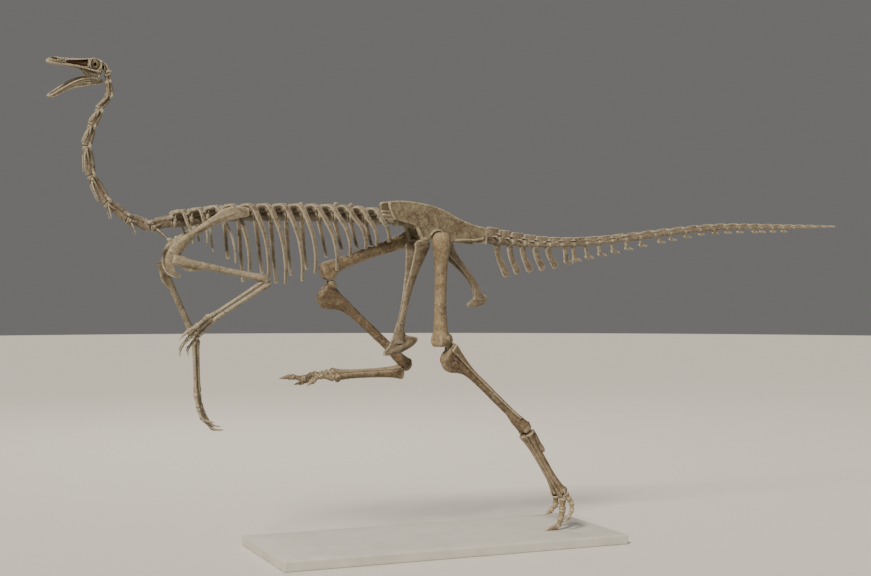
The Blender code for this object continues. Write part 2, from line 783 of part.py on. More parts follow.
def fibula(side, name, knee, ankle, front):
    axis, down, fore = bone_axes(knee, ankle, front)
    outward = sideways(knee, ankle, front, side)
    shape = (
        (0.028, 0.058, -0.010, 0.009, 0.030), (0.110, 0.053, -0.004, 0.009, 0.022),
        (0.240, 0.045, 0.004, 0.007, 0.014),
        (0.480, 0.038, 0.006, 0.006, 0.009), (0.720, 0.040, 0.006, 0.005, 0.008),
        (0.880, 0.052, 0.006, 0.005, 0.008),
    )
    rings = []
    for reach, out, ahead, half_width, half_depth in shape:
        centre = knee + axis * reach + outward * out + fore * ahead
        rings.append(oval(centre, outward, fore, half_width, half_depth, 6))
    piece(name, shell(rings), ochre_bone())


def metatarsus(side, name, ankle, toe_joint, front):
    """Three long foot bones side by side, with a short splint behind the outer one."""
    axis, down, fore = bone_axes(ankle, toe_joint, front)
    outward = sideways(ankle, toe_joint, front, side)
    bones = []
    for out, length, bulk in ((-1, 0.930, 0.92), (0, 1.0, 1.0), (1, 0.955, 0.92)):
        rings = []
        for reach, apart, half_width, half_depth in (
                (0.018, 0.020, 0.019, 0.032), (0.120, 0.019, 0.016, 0.027), (0.450, 0.018, 0.014, 0.019),
                (0.760, 0.024, 0.015, 0.017), (0.930, 0.032, 0.019, 0.024), (0.990, 0.034, 0.015, 0.017)):
            pinch = 0.72 if out == 0 and reach < 0.5 else 1.0
            centre = ankle + axis * (reach * length) + outward * (out * apart)
            rings.append(oval(centre, outward, fore, half_width * bulk * pinch, half_depth * bulk, 6))
        bones.append(shell(rings))
    splint = tube(
        [ankle + axis * 0.020 + outward * 0.030 - fore * 0.036,
         ankle + axis * 0.120 + outward * 0.034 - fore * 0.046,
         ankle + axis * 0.290 + outward * 0.034 - fore * 0.036],
        ((0.010, 0.016), (0.006, 0.008), (0.005, 0.006)), outward, sides=4)
    link = knob(ankle + axis * 0.050 + outward * 0.028 - fore * 0.022, (0.010, 0.014, 0.014), fore, down)
    piece(name, joined(bones[1], bones[0], bones[2], splint, link), ochre_bone())


def digit(points, thickness, claw, across, sides=5):
    """Chain of toe or finger bones through joint points, ending in a tapered claw."""
    centres = []
    sizes = []
    last = len(points) - 1
    for index, point in enumerate(points[:-1]):
        radius = thickness * (1 - 0.10 * index)
        after = points[index + 1]
        if index < last - 1:
            centres += [point, point.lerp(after, 0.5)]
            sizes += [(radius, radius), (radius * 0.68, radius * 0.68)]
        else:
            centres += [point, point.lerp(after, 0.35), point.lerp(after, 0.7), after]
            sizes += [(radius, radius), (radius * claw, radius * claw),
                      (radius * claw * 0.62, radius * claw * 0.6),
                      (0.0012, 0.0012)]
    return tube(centres, sizes, across, sides)


def leg(side, places, fronts, toes):
    hip, knee, shin, ankle, instep, toe_joint = places
    word = "left" if side == LEFT else "right"
    femur(side, "femur_" + word, hip, knee, fronts[0])
    tibia("tibia_" + word, shin, ankle, fronts[1])
    fibula(side, "fibula_" + word, shin, ankle, fronts[1])
    metatarsus(side, "metatarsus_" + word, instep, toe_joint, fronts[2])
    outward = sideways(instep, toe_joint, fronts[2], side)
    for number, points in toes:
        thickness = 0.0185 if number == 3 else 0.0165
        root = toe_root(instep, toe_joint, outward, number)
        mesh = digit([root] + points, thickness, 0.85, Vector((0, 1, 0)))
        piece("toe_%d_%s" % (number, word), mesh, ochre_bone())


def toe_root(instep, toe_joint, outward, number):
    """Where a toe starts: just past the end of its metatarsal."""
    lengths = {2: 0.930, 3: 1.000, 4: 0.955}
    down = (toe_joint - instep).normalized()
    return instep + down * (METATARSUS * lengths[number] + 0.006) + outward * (0.034 * (number - 3))


def legs():
    hip = at(-0.019, LEFT * HIP_HALF_WIDTH, 1.815)
    knee = hip + toward(0.5, 0, LEFT) * FEMUR
    shin = knee + Vector((0.034, 0, -0.004))
    ankle = shin + toward(-47.0, 0, LEFT) * TIBIA
    instep = ankle + Vector((-0.004, 0, -0.026))
    toe_joint = instep + toward(-31.5, 0, LEFT) * METATARSUS
    y = toe_joint.y
    toes = (
        (2, [at(0.786, y + 0.046, 0.154), at(0.752, y + 0.050, 0.118), at(0.708, y + 0.052, 0.088)]),
        (3, [at(0.806, y, 0.124), at(0.796, y, 0.066), at(0.774, y, 0.0205), at(0.676, y, 0.004)]),
        (4, [at(0.850, y - 0.042, 0.170), at(0.848, y - 0.046, 0.126), at(0.826, y - 0.050, 0.088),
             at(0.786, y - 0.052, 0.052)]),
    )
    turned_out = Vector((-0.87, -0.50, 0))
    leg(LEFT, (hip, knee, shin, ankle, instep, toe_joint),
        (turned_out, Vector((-1, -0.25, 0)), Vector((-1, 0, 0))), toes)

    hip = at(-0.074, RIGHT * HIP_HALF_WIDTH, 1.838)
    knee = hip + toward(70, 0, RIGHT) * FEMUR
    shin = knee + Vector((0.022, 0, -0.075))
    ankle = shin + toward(-47.5, 0, RIGHT) * TIBIA
    instep = ankle + Vector((-0.052, 0, -0.030))
    toe_joint = instep + toward(88.8, 0, RIGHT) * METATARSUS
    y = toe_joint.y
    toes = (
        (2, [at(-0.722, y - 0.044, 0.990), at(-0.756, y - 0.046, 0.960), at(-0.800, y - 0.046, 0.930)]),
        (3, [at(-0.745, y, 0.994), at(-0.808, y, 0.972), at(-0.880, y, 0.985), at(-0.957, y, 0.976)]),
        (4, [at(-0.715, y + 0.044, 0.984), at(-0.758, y + 0.046, 0.956), at(-0.800, y + 0.048, 0.944),
             at(-0.850, y + 0.048, 0.934)]),
    )
    leg(RIGHT, (hip, knee, shin, ankle, instep, toe_joint),
        (Vector((-1, 0, 0.5)), Vector((-1, 0, 0)), Vector((0, -0.5, 0.87))), toes)


# ---------------------------------------------------------------- arms

def scapula(side, name):
    """Shoulder blade running back along the ribs, joined to the coracoid in front."""
    back = 0.026 if side == RIGHT else 0.0
    blade = [at(x + back, side * out, height) for x, out, height in (
        (-1.220, 0.168, 1.950), (-1.280, 0.165, 1.946), (-1.352, 0.161, 1.932), (-1.424, 0.159, 1.892),
        (-1.485, 0.156, 1.856), (-1.560, 0.158, 1.806), (-1.618, 0.156, 1.752), (-1.652, 0.150, 1.706))]
    sizes = ((0.006, 0.027), (0.007, 0.036), (0.007, 0.038), (0.008, 0.025), (0.009, 0.024),
             (0.011, 0.027),
             (0.015, 0.040), (0.013, 0.034))
    body = tube(blade, sizes, Vector((0.5, 0, 1)), sides=6)
    coracoid = [at(x + back, side * out, height) for x, out, height in (
        (-1.648, 0.138, 1.735), (-1.652, 0.128, 1.690), (-1.650, 0.116, 1.640), (-1.632, 0.110, 1.604),
        (-1.608, 0.108, 1.580))]
    coracoid_sizes = ((0.010, 0.018), (0.012, 0.034), (0.009, 0.040), (0.007, 0.026), (0.005, 0.008))
    lower = tube(coracoid, coracoid_sizes, Vector((1, side * 0.8, 0.2)), sides=6)
    piece(name, joined(body, lower), pale_bone())


def humerus(name, shoulder, elbow, front):
    stations = (
        (0.000, 0.000, 0.000, 0.022, 0.014), (0.030, 0.000, 0.000, 0.032, 0.020),
        (0.100, 0.000, 0.006, 0.028, 0.022),
        (0.190, 0.000, 0.010, 0.021, 0.024), (0.300, 0.000, 0.000, 0.018, 0.018),
        (0.550, 0.000, 0.000, 0.016, 0.016),
        (0.800, 0.000, 0.000, 0.019, 0.017), (0.930, 0.000, 0.000, 0.031, 0.021),
        (0.985, 0.000, 0.000, 0.028, 0.017),
    )
    piece(name, long_bone(shoulder, elbow, front, stations, sides=6), pale_bone())


def forearm(word, elbow, wrist, across):
    """Ulna behind with its elbow point, and the thinner radius beside it."""
    axis = wrist - elbow
    down = axis.normalized()
    apart = (across - down * across.dot(down)).normalized()
    edge = down.cross(apart)
    ulna_shape = (
        (-0.050, 0.016, 0.009, 0.008), (-0.010, 0.015, 0.014, 0.016), (0.070, 0.013, 0.014, 0.018),
        (0.180, 0.013, 0.012, 0.014), (0.500, 0.014, 0.011, 0.012), (0.820, 0.014, 0.011, 0.012),
        (0.975, 0.014, 0.012, 0.016),
    )
    radius_shape = (
        (0.075, -0.021, 0.011, 0.013), (0.130, -0.020, 0.008, 0.010), (0.500, -0.015, 0.007, 0.008),
        (0.860, -0.013, 0.008, 0.009), (0.975, -0.013, 0.011, 0.012),
    )
    for bone, shape in (("ulna_", ulna_shape), ("radius_", radius_shape)):
        rings = []
        for reach, shift, half_width, half_depth in shape:
            centre = elbow + axis * reach + apart * shift
            rings.append(oval(centre, apart, edge, half_width * 0.98, half_depth, 6))
        piece(bone + word, shell(rings), pale_bone())


def palm(word, roots, ends):
    """Three bones of the palm, side by side and joined at the wrist."""
    bones = []
    for root, end in zip(roots, ends):
        points = [root, root.lerp(end, 0.50), root.lerp(end, 0.96)]
        sizes = ((0.0100, 0.0112), (0.0076, 0.0086), (0.0095, 0.0100))
        bones.append(tube(points, sizes, Vector((0, 1, 0.3)), sides=5))
    wrist = roots[1].lerp(ends[1], 0.06)
    carpal = knob(wrist, (0.012, 0.026, 0.011), roots[2] - roots[0], ends[1] - roots[1])
    piece("palm_" + word, joined(bones[1], bones[0], bones[2], carpal), pale_bone())


def arm(side, places, fronts, palm_roots, palm_ends, fingers):
    shoulder, elbow, crook, wrist = places
    word = "left" if side == LEFT else "right"
    scapula(side, "scapula_" + word)
    humerus("humerus_" + word, shoulder, elbow, fronts[0])
    forearm(word, crook, wrist, fronts[1])
    palm(word, palm_roots, palm_ends)
    for number, points in enumerate(fingers, 1):
        mesh = digit(points, 0.0095, 0.95, Vector((0, 1, 0.3)))
        piece("finger_%d_%s" % (number, word), mesh, pale_bone())


def arms():
    shoulder = at(-1.628, LEFT * 0.190, 1.668)
    elbow = shoulder + toward(-78.5, 2, LEFT) * HUMERUS
    y = elbow.y
    crook = elbow + Vector((-0.016, 0, -0.030))
    wrist = at(-1.452, y, 1.345)
    roots = [at(-1.476, y - 0.014, 1.356), at(-1.464, y, 1.338), at(-1.446, y + 0.012, 1.324)]
    ends = [at(-1.540, y - 0.016, 1.302), at(-1.534, y, 1.276), at(-1.510, y + 0.016, 1.258)]
    fingers = [
        [at(-1.5435, y - 0.016, 1.299), at(-1.582, y - 0.018, 1.280), at(-1.640, y - 0.020, 1.226)],
        [at(-1.5375, y, 1.273), at(-1.578, y, 1.240), at(-1.624, y, 1.188), at(-1.628, y, 1.134)],
        [at(-1.513, y + 0.018, 1.254), at(-1.548, y + 0.020, 1.216), at(-1.580, y + 0.022, 1.178),
         at(-1.576, y + 0.022, 1.138)],
    ]
    arm(LEFT, (shoulder, elbow, crook, wrist), (Vector((0, 0, -1)), Vector((0.55, 0, -0.83))),
        roots, ends, fingers)

    shoulder = at(-1.640, RIGHT * 0.190, 1.640)
    elbow = at(-1.420, 0.340, 1.222)
    y = 0.380
    crook = elbow + Vector((0.008, 0.004, -0.026))
    wrist = at(-1.393, y, 0.884)
    roots = [at(-1.404, y - 0.012, 0.872), at(-1.392, y, 0.868), at(-1.378, y + 0.012, 0.872)]
    ends = [at(-1.392, y - 0.018, 0.800), at(-1.380, y, 0.794), at(-1.362, y + 0.018, 0.800)]
    fingers = [
        [at(-1.391, y - 0.018, 0.795), at(-1.366, y - 0.020, 0.726), at(-1.290, y - 0.022, 0.706)],
        [at(-1.377, y, 0.789), at(-1.348, y, 0.720), at(-1.296, y, 0.664), at(-1.224, y, 0.658)],
        [at(-1.359, y + 0.018, 0.795), at(-1.334, y + 0.020, 0.738), at(-1.300, y + 0.022, 0.690),
         at(-1.240, y + 0.022, 0.676)],
    ]
    arm(RIGHT, (shoulder, elbow, crook, wrist), (Vector((-0.6, -0.5, -0.6)), Vector((1, 0, 0))),
        roots, ends, fingers)


# ---------------------------------------------------------------- stand

def stand():
    """Flat base with a rounded upper edge; the standing foot rests on it."""
    mesh = bmesh.new()
    bmesh.ops.create_cube(mesh, size=1.0)
    for vert in mesh.verts:
        vert.co.x *= BASE_LENGTH
        vert.co.y *= BASE_WIDTH
        vert.co.z = (vert.co.z + 0.5) * BASE_THICKNESS
    rim = [edge for edge in mesh.edges if all(vert.co.z > BASE_THICKNESS / 2 for vert in edge.verts)]
    corners = [edge for edge in mesh.edges if abs(edge.verts[0].co.z - edge.verts[1].co.z) > BASE_THICKNESS / 2]
    bmesh.ops.bevel(mesh, geom=rim + corners, offset=BASE_EDGE, segments=2, affect="EDGES", profile=0.5)
    piece("stand_base", mesh, base_paint())


def main():
    for item in list(bpy.data.objects):
        bpy.data.objects.remove(item)
    skull()
    sclerotic_ring("sclerotic_ring_left", LEFT)
    sclerotic_ring("sclerotic_ring_right", RIGHT)
    lower_jaw()
    course = backbone()
    neck(course)
    rib_cage(course)
    sacrum(course)
    ilium(LEFT, "ilium_left")
    ilium(RIGHT, "ilium_right")
    pubis()
    ischium()
    tail(course)
    legs()
    arms()
    stand()


main()
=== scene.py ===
"""Mounted skeleton of the ostrich dinosaur Gallimimus: bones, base and studio.

Metres, +Z up.  The head points toward -X and the animal's left side toward -Y.
Each bone is roughed out in clay pieces, fused, smoothed and given its grain.
"""

from math import cos, exp, pi, radians, sin

import bpy
import numpy as np
from bpy.props import FloatProperty, FloatVectorProperty, IntProperty, PointerProperty
from mathutils import Matrix, Vector


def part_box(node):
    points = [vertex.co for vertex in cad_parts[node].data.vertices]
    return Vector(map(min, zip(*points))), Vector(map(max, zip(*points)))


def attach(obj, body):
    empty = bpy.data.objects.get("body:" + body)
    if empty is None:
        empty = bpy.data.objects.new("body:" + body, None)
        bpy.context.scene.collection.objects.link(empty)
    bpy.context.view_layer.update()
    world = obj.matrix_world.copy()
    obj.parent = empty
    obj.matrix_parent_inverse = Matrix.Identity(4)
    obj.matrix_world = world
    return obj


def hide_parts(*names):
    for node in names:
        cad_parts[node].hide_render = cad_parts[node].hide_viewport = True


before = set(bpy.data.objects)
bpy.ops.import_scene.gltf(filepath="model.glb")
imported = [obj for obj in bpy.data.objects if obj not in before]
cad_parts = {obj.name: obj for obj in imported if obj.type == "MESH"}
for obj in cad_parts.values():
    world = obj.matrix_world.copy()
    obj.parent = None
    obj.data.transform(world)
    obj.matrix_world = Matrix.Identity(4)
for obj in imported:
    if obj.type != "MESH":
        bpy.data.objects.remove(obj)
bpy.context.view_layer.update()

bl_info = {
    "name": "Mounted Gallimimus skeleton",
    "version": (1, 0, 0),
    "blender": (4, 5, 0),
    "location": "3D View > Sidebar > Skeleton",
    "description": "Models a mounted ostrich dinosaur skeleton bone by bone",
    "category": "Object",
}

LEFT, RIGHT = -1, 1
SIDES = ((LEFT, "left"), (RIGHT, "right"))
BASE_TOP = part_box("stand_base")[1][2]

# The backbone's line, from behind the skull to the tip of the tail: X and height above the base
NECK_LINE = (
    (-1.990, 2.712), (-1.976, 2.592), (-2.028, 2.506), (-2.070, 2.418), (-2.098, 2.304), (-2.076, 2.144),
    (-1.992, 1.998), (-1.880, 1.912), (-1.753, 1.870), (-1.627, 1.892),
)
BACK_LINE = (
    (-1.627, 1.892), (-1.483, 1.912), (-1.349, 1.932), (-1.171, 1.941), (-0.868, 1.947), (-0.619, 1.947),
    (-0.377, 1.933), (-0.234, 1.924), (0.050, 1.885), (0.335, 1.835),
)
TAIL_LINE = (
    (0.335, 1.835), (0.425, 1.824), (0.784, 1.799), (1.170, 1.821), (1.601, 1.876), (2.055, 1.924),
    (2.620, 1.937), (3.038, 1.947),
)

# How far each rib's tip lies behind and below its root, from the first rib to the last
RIB_REACHES = {
    LEFT: ((0.062, 0.130), (0.045, 0.150), (0.112, 0.270), (0.094, 0.322), (0.101, 0.372), (0.106, 0.402),
           (0.110, 0.388), (0.094, 0.345), (0.132, 0.328), (0.120, 0.245), (0.124, 0.200), (0.100, 0.175),
           (0.085, 0.145)),
    RIGHT: ((0.050, 0.110), (0.030, 0.130), (0.020, 0.200), (0.016, 0.250), (0.020, 0.388), (0.040, 0.340),
            (0.030, 0.400), (0.026, 0.356), (0.026, 0.322), (0.052, 0.250), (0.052, 0.206), (0.052, 0.190),
            (0.045, 0.168)),
}
ACETABULUM = (-0.020, 1.817)
TAU = 2 * pi


# ---------------------------------------------------------------- settings

def linear(code):
    """An sRGB hex colour as linear light, with full alpha."""
    parts = [int(code[i:i + 2], 16) / 255 for i in (0, 2, 4)]
    return tuple(c / 12.92 if c <= 0.04045 else ((c + 0.055) / 1.055) ** 2.4 for c in parts) + (1.0,)


def colour(name, words, code):
    return FloatVectorProperty(name=name, description=words, subtype="COLOR", size=4, min=0, max=1,
                               default=linear(code))


def length(name, words, metres):
    return FloatProperty(name=name, description=words, default=metres, min=0.0001, unit="LENGTH")


class SkeletonSizes(bpy.types.PropertyGroup):
    """Lengths between joints and the fineness of the modelling."""

    femur: length("Femur", "Thigh bone, hip to knee", 0.660)
    tibia: length("Tibia", "Shin bone, knee to ankle", 0.750)
    metatarsus: length("Metatarsus", "Middle foot bone", 0.480)
    humerus: length("Humerus", "Upper arm bone", 0.515)
    back: length("Back", "Thirteen dorsal vertebrae together", 1.252)
    chest: length("Chest", "Half width across the ribs", 0.185)
    hip: length("Hip", "Middle plane to the hip joint", 0.140)
    cervicals: IntProperty(name="Neck vertebrae", description="Vertebrae of the neck", default=10, min=2)
    dorsals: IntProperty(name="Back vertebrae", description="Vertebrae that carry ribs", default=13, min=2)
    sacrals: IntProperty(name="Hip vertebrae", description="Vertebrae between the hip blades", default=6, min=2)
    caudals: IntProperty(name="Tail vertebrae", description="Vertebrae of the tail", default=28, min=2)
    chevrons: IntProperty(name="Chevrons", description="Bones hung under the tail", default=23, min=1)
    grain: length("Fineness", "Size of the facets of the large bones", 0.0038)


class SkeletonColours(bpy.types.PropertyGroup):
    """Colours of the fossil bone, the base and the room."""

    pale: colour("Pale bone", "Cream bone of the skull, shoulders and arms", "857A65")
    tan: colour("Tan bone", "Grey-tan bone of the backbone and ribs", "6B6151")
    ochre: colour("Ochre bone", "Ochre-brown bone of the legs", "7F6F55")
    mottled: colour("Mottled bone", "Olive bone of the hip blades", "6F6750")
    shin: colour("Shins", "Darker brown bone below the knees", "6B5B44")
    # The worn ridge colour is also the painted highlight laid on every ridge.
    ridge: colour("Worn ridges", "Rubbed edges and ridges", "C6BDA4")
    # This colour is also the painted shade laid in every hollow, and it darkens the cracks.
    earth_and_hollow_shade: colour("Earth in hollows", "Brown earth left in the hollows", "2C2118")
    stain: colour("Iron stain", "Red-brown patches", "53402F")
    filling: colour("Skull filling", "Dark stone inside the skull", "46301F")
    paint: colour("Base paint", "Pale grey paint of the base", "BDBBB4")
    floor: colour("Floor", "Pale floor", "C9C7C2")


def sizes():
    return bpy.context.scene.skeleton_sizes


def colours():
    return bpy.context.scene.skeleton_colours


# ---------------------------------------------------------------- places and curves

def at(x, y, height):
    """A point given by its height above the top of the base."""
    return Vector((x, y, height + BASE_TOP))


def toward(forward_swing):
    """Direction of a limb bone swung forward, in degrees, from straight down."""
    swing = radians(forward_swing)
    return Vector((-sin(swing), 0, -cos(swing)))


def mix(low, high, amount):
    return low + (high - low) * amount


def eased(rows, steps=4):
    """Rows of numbers with smooth in-between rows."""
    rows = [np.array(row, dtype=float) for row in rows]
    ends = [rows[0] * 2 - rows[1]] + rows + [rows[-1] * 2 - rows[-2]]
    made = []
    for a, b, c, d in zip(ends, ends[1:], ends[2:], ends[3:]):
        for step in range(steps):
            t = step / steps
            made.append(0.5 * (2 * b + (c - a) * t + (2 * a - 5 * b + 4 * c - d) * t ** 2
                               + (3 * b - a - 3 * c + d) * t ** 3))
    made.append(rows[-1])
    return made


class Course:
    """A smooth curve through points, read by the distance along it."""

    def __init__(self, points):
        self.places = [Vector(row) for row in eased(points, 16)]
        self.reaches = [0.0]
        for low, high in zip(self.places, self.places[1:]):
            self.reaches.append(self.reaches[-1] + (high - low).length)
        self.length = self.reaches[-1]

    def point(self, distance):
        distance = min(max(distance, 0.0), self.length)
        index = 0
        while index < len(self.reaches) - 2 and self.reaches[index + 1] < distance:
            index += 1
        span = self.reaches[index + 1] - self.reaches[index]
        return self.places[index].lerp(self.places[index + 1], (distance - self.reaches[index]) / span)

    def heading(self, distance):
        return (self.point(distance + 0.012) - self.point(distance - 0.012)).normalized()

    def mark(self, place):
        """Distance along the curve of one of the points it runs through."""
        spot = at(place[0], 0.0, place[1])
        nearest = min(range(len(self.places)), key=lambda index: (self.places[index] - spot).length)
        return self.reaches[nearest]

    def stand(self, distance, ahead=0.0):
        """Place on the backbone: X back along it, Y to the right, Z dorsal."""
        back = self.heading(distance + ahead)
        across = Vector((0, 1, 0))
        return axes(back, across, back.cross(across), self.point(distance))


def backbone():
    places = NECK_LINE + BACK_LINE[1:] + TAIL_LINE[1:]
    return Course([at(x, 0.0, height) for x, height in places])


def axes(x, y, z, origin=(0, 0, 0)):
    """Matrix that takes X, Y and Z to three directions, from an origin."""
    made = Matrix.Identity(4)
    for column, direction in enumerate((x, y, z, origin)):
        for row in range(3):
            made[row][column] = direction[row]
    return made


def along_bone(start, end, front, outward=None):
    """Place of a limb bone: Z runs down it, Y to its front, X to its outer side."""
    down = (end - start).normalized()
    fore = (front - down * front.dot(down)).normalized()
    side = down.cross(fore)
    if outward is not None and side.dot(outward) < 0:
        side = -side
    return axes(side, fore, down, start)


# Places inside a vertebra, whose X runs back, Y right and Z dorsal
LENGTHWISE = axes((0, 1, 0), (0, 0, 1), (1, 0, 0))
UPRIGHT = axes((0, 1, 0), (1, 0, 0), (0, 0, 1))
SIDEWAYS = {RIGHT: axes((1, 0, 0), (0, 0, 1), (0, 1, 0)), LEFT: axes((1, 0, 0), (0, 0, 1), (0, -1, 0))}


# ---------------------------------------------------------------- clay

def choose(*items):
    """Make these the only selected objects, the first of them active."""
    bpy.ops.object.select_all(action="DESELECT")
    for item in items:
        item.select_set(True)
    bpy.context.view_layer.objects.active = items[0]


def shaft(stations, place=Matrix.Identity(4), sides=16, steps=4):
    """A circle extruded station by station along Z and resized at each.

    A station is how far along it is, its shift along X and Y, and its half sizes there.
    """
    rows = eased(stations, steps) if steps > 1 else stations
    bpy.ops.object.select_all(action="DESELECT")
    bpy.ops.mesh.primitive_circle_add(vertices=sides, radius=1, fill_type="NGON", enter_editmode=True)
    reach, out, ahead, wide, deep = rows[0]
    bpy.ops.transform.resize(value=(wide, deep, 1), center_override=(0, 0, 0))
    bpy.ops.transform.translate(value=(out, ahead, reach))
    for last, now in zip(rows, rows[1:]):
        bpy.ops.mesh.extrude_region_move(
            TRANSFORM_OT_translate={"value": (now[1] - last[1], now[2] - last[2], now[0] - last[0])})
        bpy.ops.transform.resize(value=(now[3] / last[3], now[4] / last[4], 1),
                                 center_override=(now[1], now[2], now[0]))
    bpy.ops.object.mode_set(mode="OBJECT")
    clay = bpy.context.object
    clay.data.transform(place)
    return clay


def lump(centre, radii, place=Matrix.Identity(4), turn=0.0):
    """A rounded lump of clay; turn tips it about X, in degrees."""
    bpy.ops.object.select_all(action="DESELECT")
    bpy.ops.mesh.primitive_uv_sphere_add(segments=20, ring_count=12, radius=1)
    clay = bpy.context.object
    spin = Matrix.Rotation(radians(turn), 4, "X")
    clay.data.transform(place @ Matrix.Translation(centre) @ spin @ Matrix.Diagonal((*radii, 1)))
    return clay


def skinned(rings, name="clay"):
    """A closed skin over rings of points, for what bends too much to be extruded."""
    count = len(rings[0])
    points = [tuple(point) for ring in rings for point in ring]
    faces = [tuple(range(count))[::-1], tuple(range(len(points) - count, len(points)))]
    for ring in range(len(rings) - 1):
        for index in range(count):
            after = (index + 1) % count
            low = ring * count
            faces.append((low + index, low + after, low + count + after, low + count + index))
    data = bpy.data.meshes.new(name)
    data.from_pydata(points, [], faces)
    clay = bpy.data.objects.new(name, data)
    bpy.context.collection.objects.link(clay)
    return clay


def blade(points, halves, across, sides=12, steps=5):
    """A bent bone through points; halves are its half width, along across, and half depth."""
    rows = eased([(*point, *half) for point, half in zip(points, halves)], steps)
    places = [Vector(row[:3]) for row in rows]
    last = len(places) - 1
    rings = []
    for index, (place, row) in enumerate(zip(places, rows)):
        heading = (places[min(index + 1, last)] - places[max(index - 1, 0)]).normalized()
        wide = (across - heading * across.dot(heading)).normalized()
        deep = heading.cross(wide)
        rings.append([place + wide * (max(row[3], 0.0006) * cos(TAU * i / sides))
                      + deep * (max(row[4], 0.0006) * sin(TAU * i / sides)) for i in range(sides)])
    return skinned(rings)


def slab(outline, half, edge, place):
    """A plate with a rounded edge: a filled flat curve, thickened both ways and bevelled."""
    data = bpy.data.curves.new("outline", "CURVE")
    data.dimensions = "2D"
    data.fill_mode = "BOTH"
    spline = data.splines.new("POLY")
    spline.points.add(len(outline) - 1)
    for knot, (u, v) in zip(spline.points, outline):
        knot.co = (u, v, 0, 1)
    spline.use_cyclic_u = True
    data.extrude = half - edge
    data.bevel_depth = edge
    data.bevel_resolution = 2
    data.offset = -edge
    clay = bpy.data.objects.new("slab", data)
    bpy.context.collection.objects.link(clay)
    choose(clay)
    bpy.ops.object.convert(target="MESH")
    clay = bpy.context.object
    clay.data.transform(place)
    return clay


def apply(item, kind, **settings):
    """Add a modifier with its settings and apply it."""
    choose(item)
    step = item.modifiers.new(kind.title(), kind)
    for name, value in settings.items():
        setattr(step, name, value)
    bpy.ops.object.modifier_apply(modifier=step.name)


def grain_texture(name, size):
    made = bpy.data.textures.get(name)
    if made is None:
        made = bpy.data.textures.new(name, "CLOUDS")
        made.noise_scale = size
        made.noise_depth = 3
    return made


def join(items, name):
    choose(*items)
    if len(items) > 1:
        bpy.ops.object.join()
    made = bpy.context.object
    made.name = name
    made.data.name = name
    return made


def fuse(name, clays, facet, rounds=3, relief=0.0, relief_size=0.02):
    """One closed bone from overlapping clay: joined, remeshed, smoothed and roughened."""
    made = join(clays, name)
    bpy.ops.object.mode_set(mode="EDIT")
    bpy.ops.mesh.select_all(action="SELECT")
    bpy.ops.mesh.normals_make_consistent(inside=False)
    bpy.ops.object.mode_set(mode="OBJECT")
    apply(made, "REMESH", mode="VOXEL", voxel_size=facet)
    apply(made, "SMOOTH", factor=0.6, iterations=rounds)
    if relief:
        apply(made, "DISPLACE", texture=grain_texture("relief_%g" % relief_size, relief_size),
              texture_coords="GLOBAL", strength=relief, mid_level=0.5)
    return made


def copied(pattern, place):
    """A copy of a modelled bone with a mesh of its own, set in its place."""
    made = pattern.copy()
    made.data = pattern.data.copy()
    bpy.context.collection.objects.link(made)
    made.data.transform(place)
    if place.determinant() < 0:
        made.data.flip_normals()
    return made


def discard(*items):
    for item in items:
        data = item.data
        bpy.data.objects.remove(item)
        bpy.data.meshes.remove(data)


def mark_hollows(piece, rounds=5, gain=0.006):
    """Store how hollow the surface is at each point: 0.5 flat, 1 in a hollow, 0 on a ridge."""
    mesh = piece.data
    count = len(mesh.vertices)
    spots = np.empty(count * 3)
    mesh.vertices.foreach_get("co", spots)
    spots = spots.reshape(-1, 3)
    normals = np.empty(count * 3)
    mesh.vertices.foreach_get("normal", normals)
    normals = normals.reshape(-1, 3)
    ends = np.empty(len(mesh.edges) * 2, dtype=np.int64)
    mesh.edges.foreach_get("vertices", ends)
    low, high = ends.reshape(-1, 2).T
    step = spots[high] - spots[low]
    span = np.maximum((step ** 2).sum(axis=1), 1e-12)
    degree = np.maximum(np.bincount(low, minlength=count) + np.bincount(high, minlength=count), 1)
    bend = (np.bincount(low, (normals[low] * step).sum(axis=1) / span, count)
            - np.bincount(high, (normals[high] * step).sum(axis=1) / span, count)) / degree
    for _ in range(rounds):
        around = np.bincount(low, bend[high], count) + np.bincount(high, bend[low], count)
        bend = 0.4 * bend + 0.6 * around / degree
    # This value also places the painted shade in hollows and the painted highlight on ridges.
    shade = np.clip(0.5 + bend * gain, 0.0, 1.0)
    mesh.attributes.new("hollow", "FLOAT", "POINT").data.foreach_set("value", shade)


def finish(piece, surface, slot, *nodes):
    """Shade a finished bone, give it its surface, and let it stand for its CAD nodes."""
    choose(piece)
    mark_hollows(piece)
    bpy.ops.object.shade_smooth()
    piece.data.materials.clear()
    piece.data.materials.append(surface)
    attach(piece, "root")
    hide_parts(*nodes)
    return piece


# ---------------------------------------------------------------- surfaces

def add(tree, kind, settings=None, links=None):
    """Add one node with its settings, and link its inputs from other nodes' outputs."""
    node = tree.nodes.new(kind)
    for name, value in (settings or {}).items():
        if isinstance(name, int) or name in node.inputs:
            node.inputs[name].default_value = value
        else:
            setattr(node, name, value)
    for name, source in (links or {}).items():
        tree.links.new(source, node.inputs[name])
    return node


def ramp(tree, source, stops):
    node = add(tree, "ShaderNodeValToRGB", links={"Fac": source})
    band = node.color_ramp
    while len(band.elements) < len(stops):
        band.elements.new(0.5)
    for element, (position, shade) in zip(band.elements, stops):
        element.position = position
        element.color = shade if len(shade) == 4 else (*shade, 1)
    return node


def blended(tree, fac, low, high, kind="MIX"):
    """Mix two colours, each a colour or an output, by a factor output or number."""
    node = add(tree, "ShaderNodeMix", {"data_type": "RGBA", "blend_type": kind})
    for value, index in ((fac, 0), (low, 6), (high, 7)):
        if hasattr(value, "is_output"):
            tree.links.new(value, node.inputs[index])
        else:
            node.inputs[index].default_value = value
    return node.outputs[2]


def new_surface(name):
    made = bpy.data.materials.get(name)
    if made:
        return made, None, None
    made = bpy.data.materials.new(name)
    made.use_nodes = True
    tree = made.node_tree
    return made, tree, tree.nodes["Principled BSDF"]


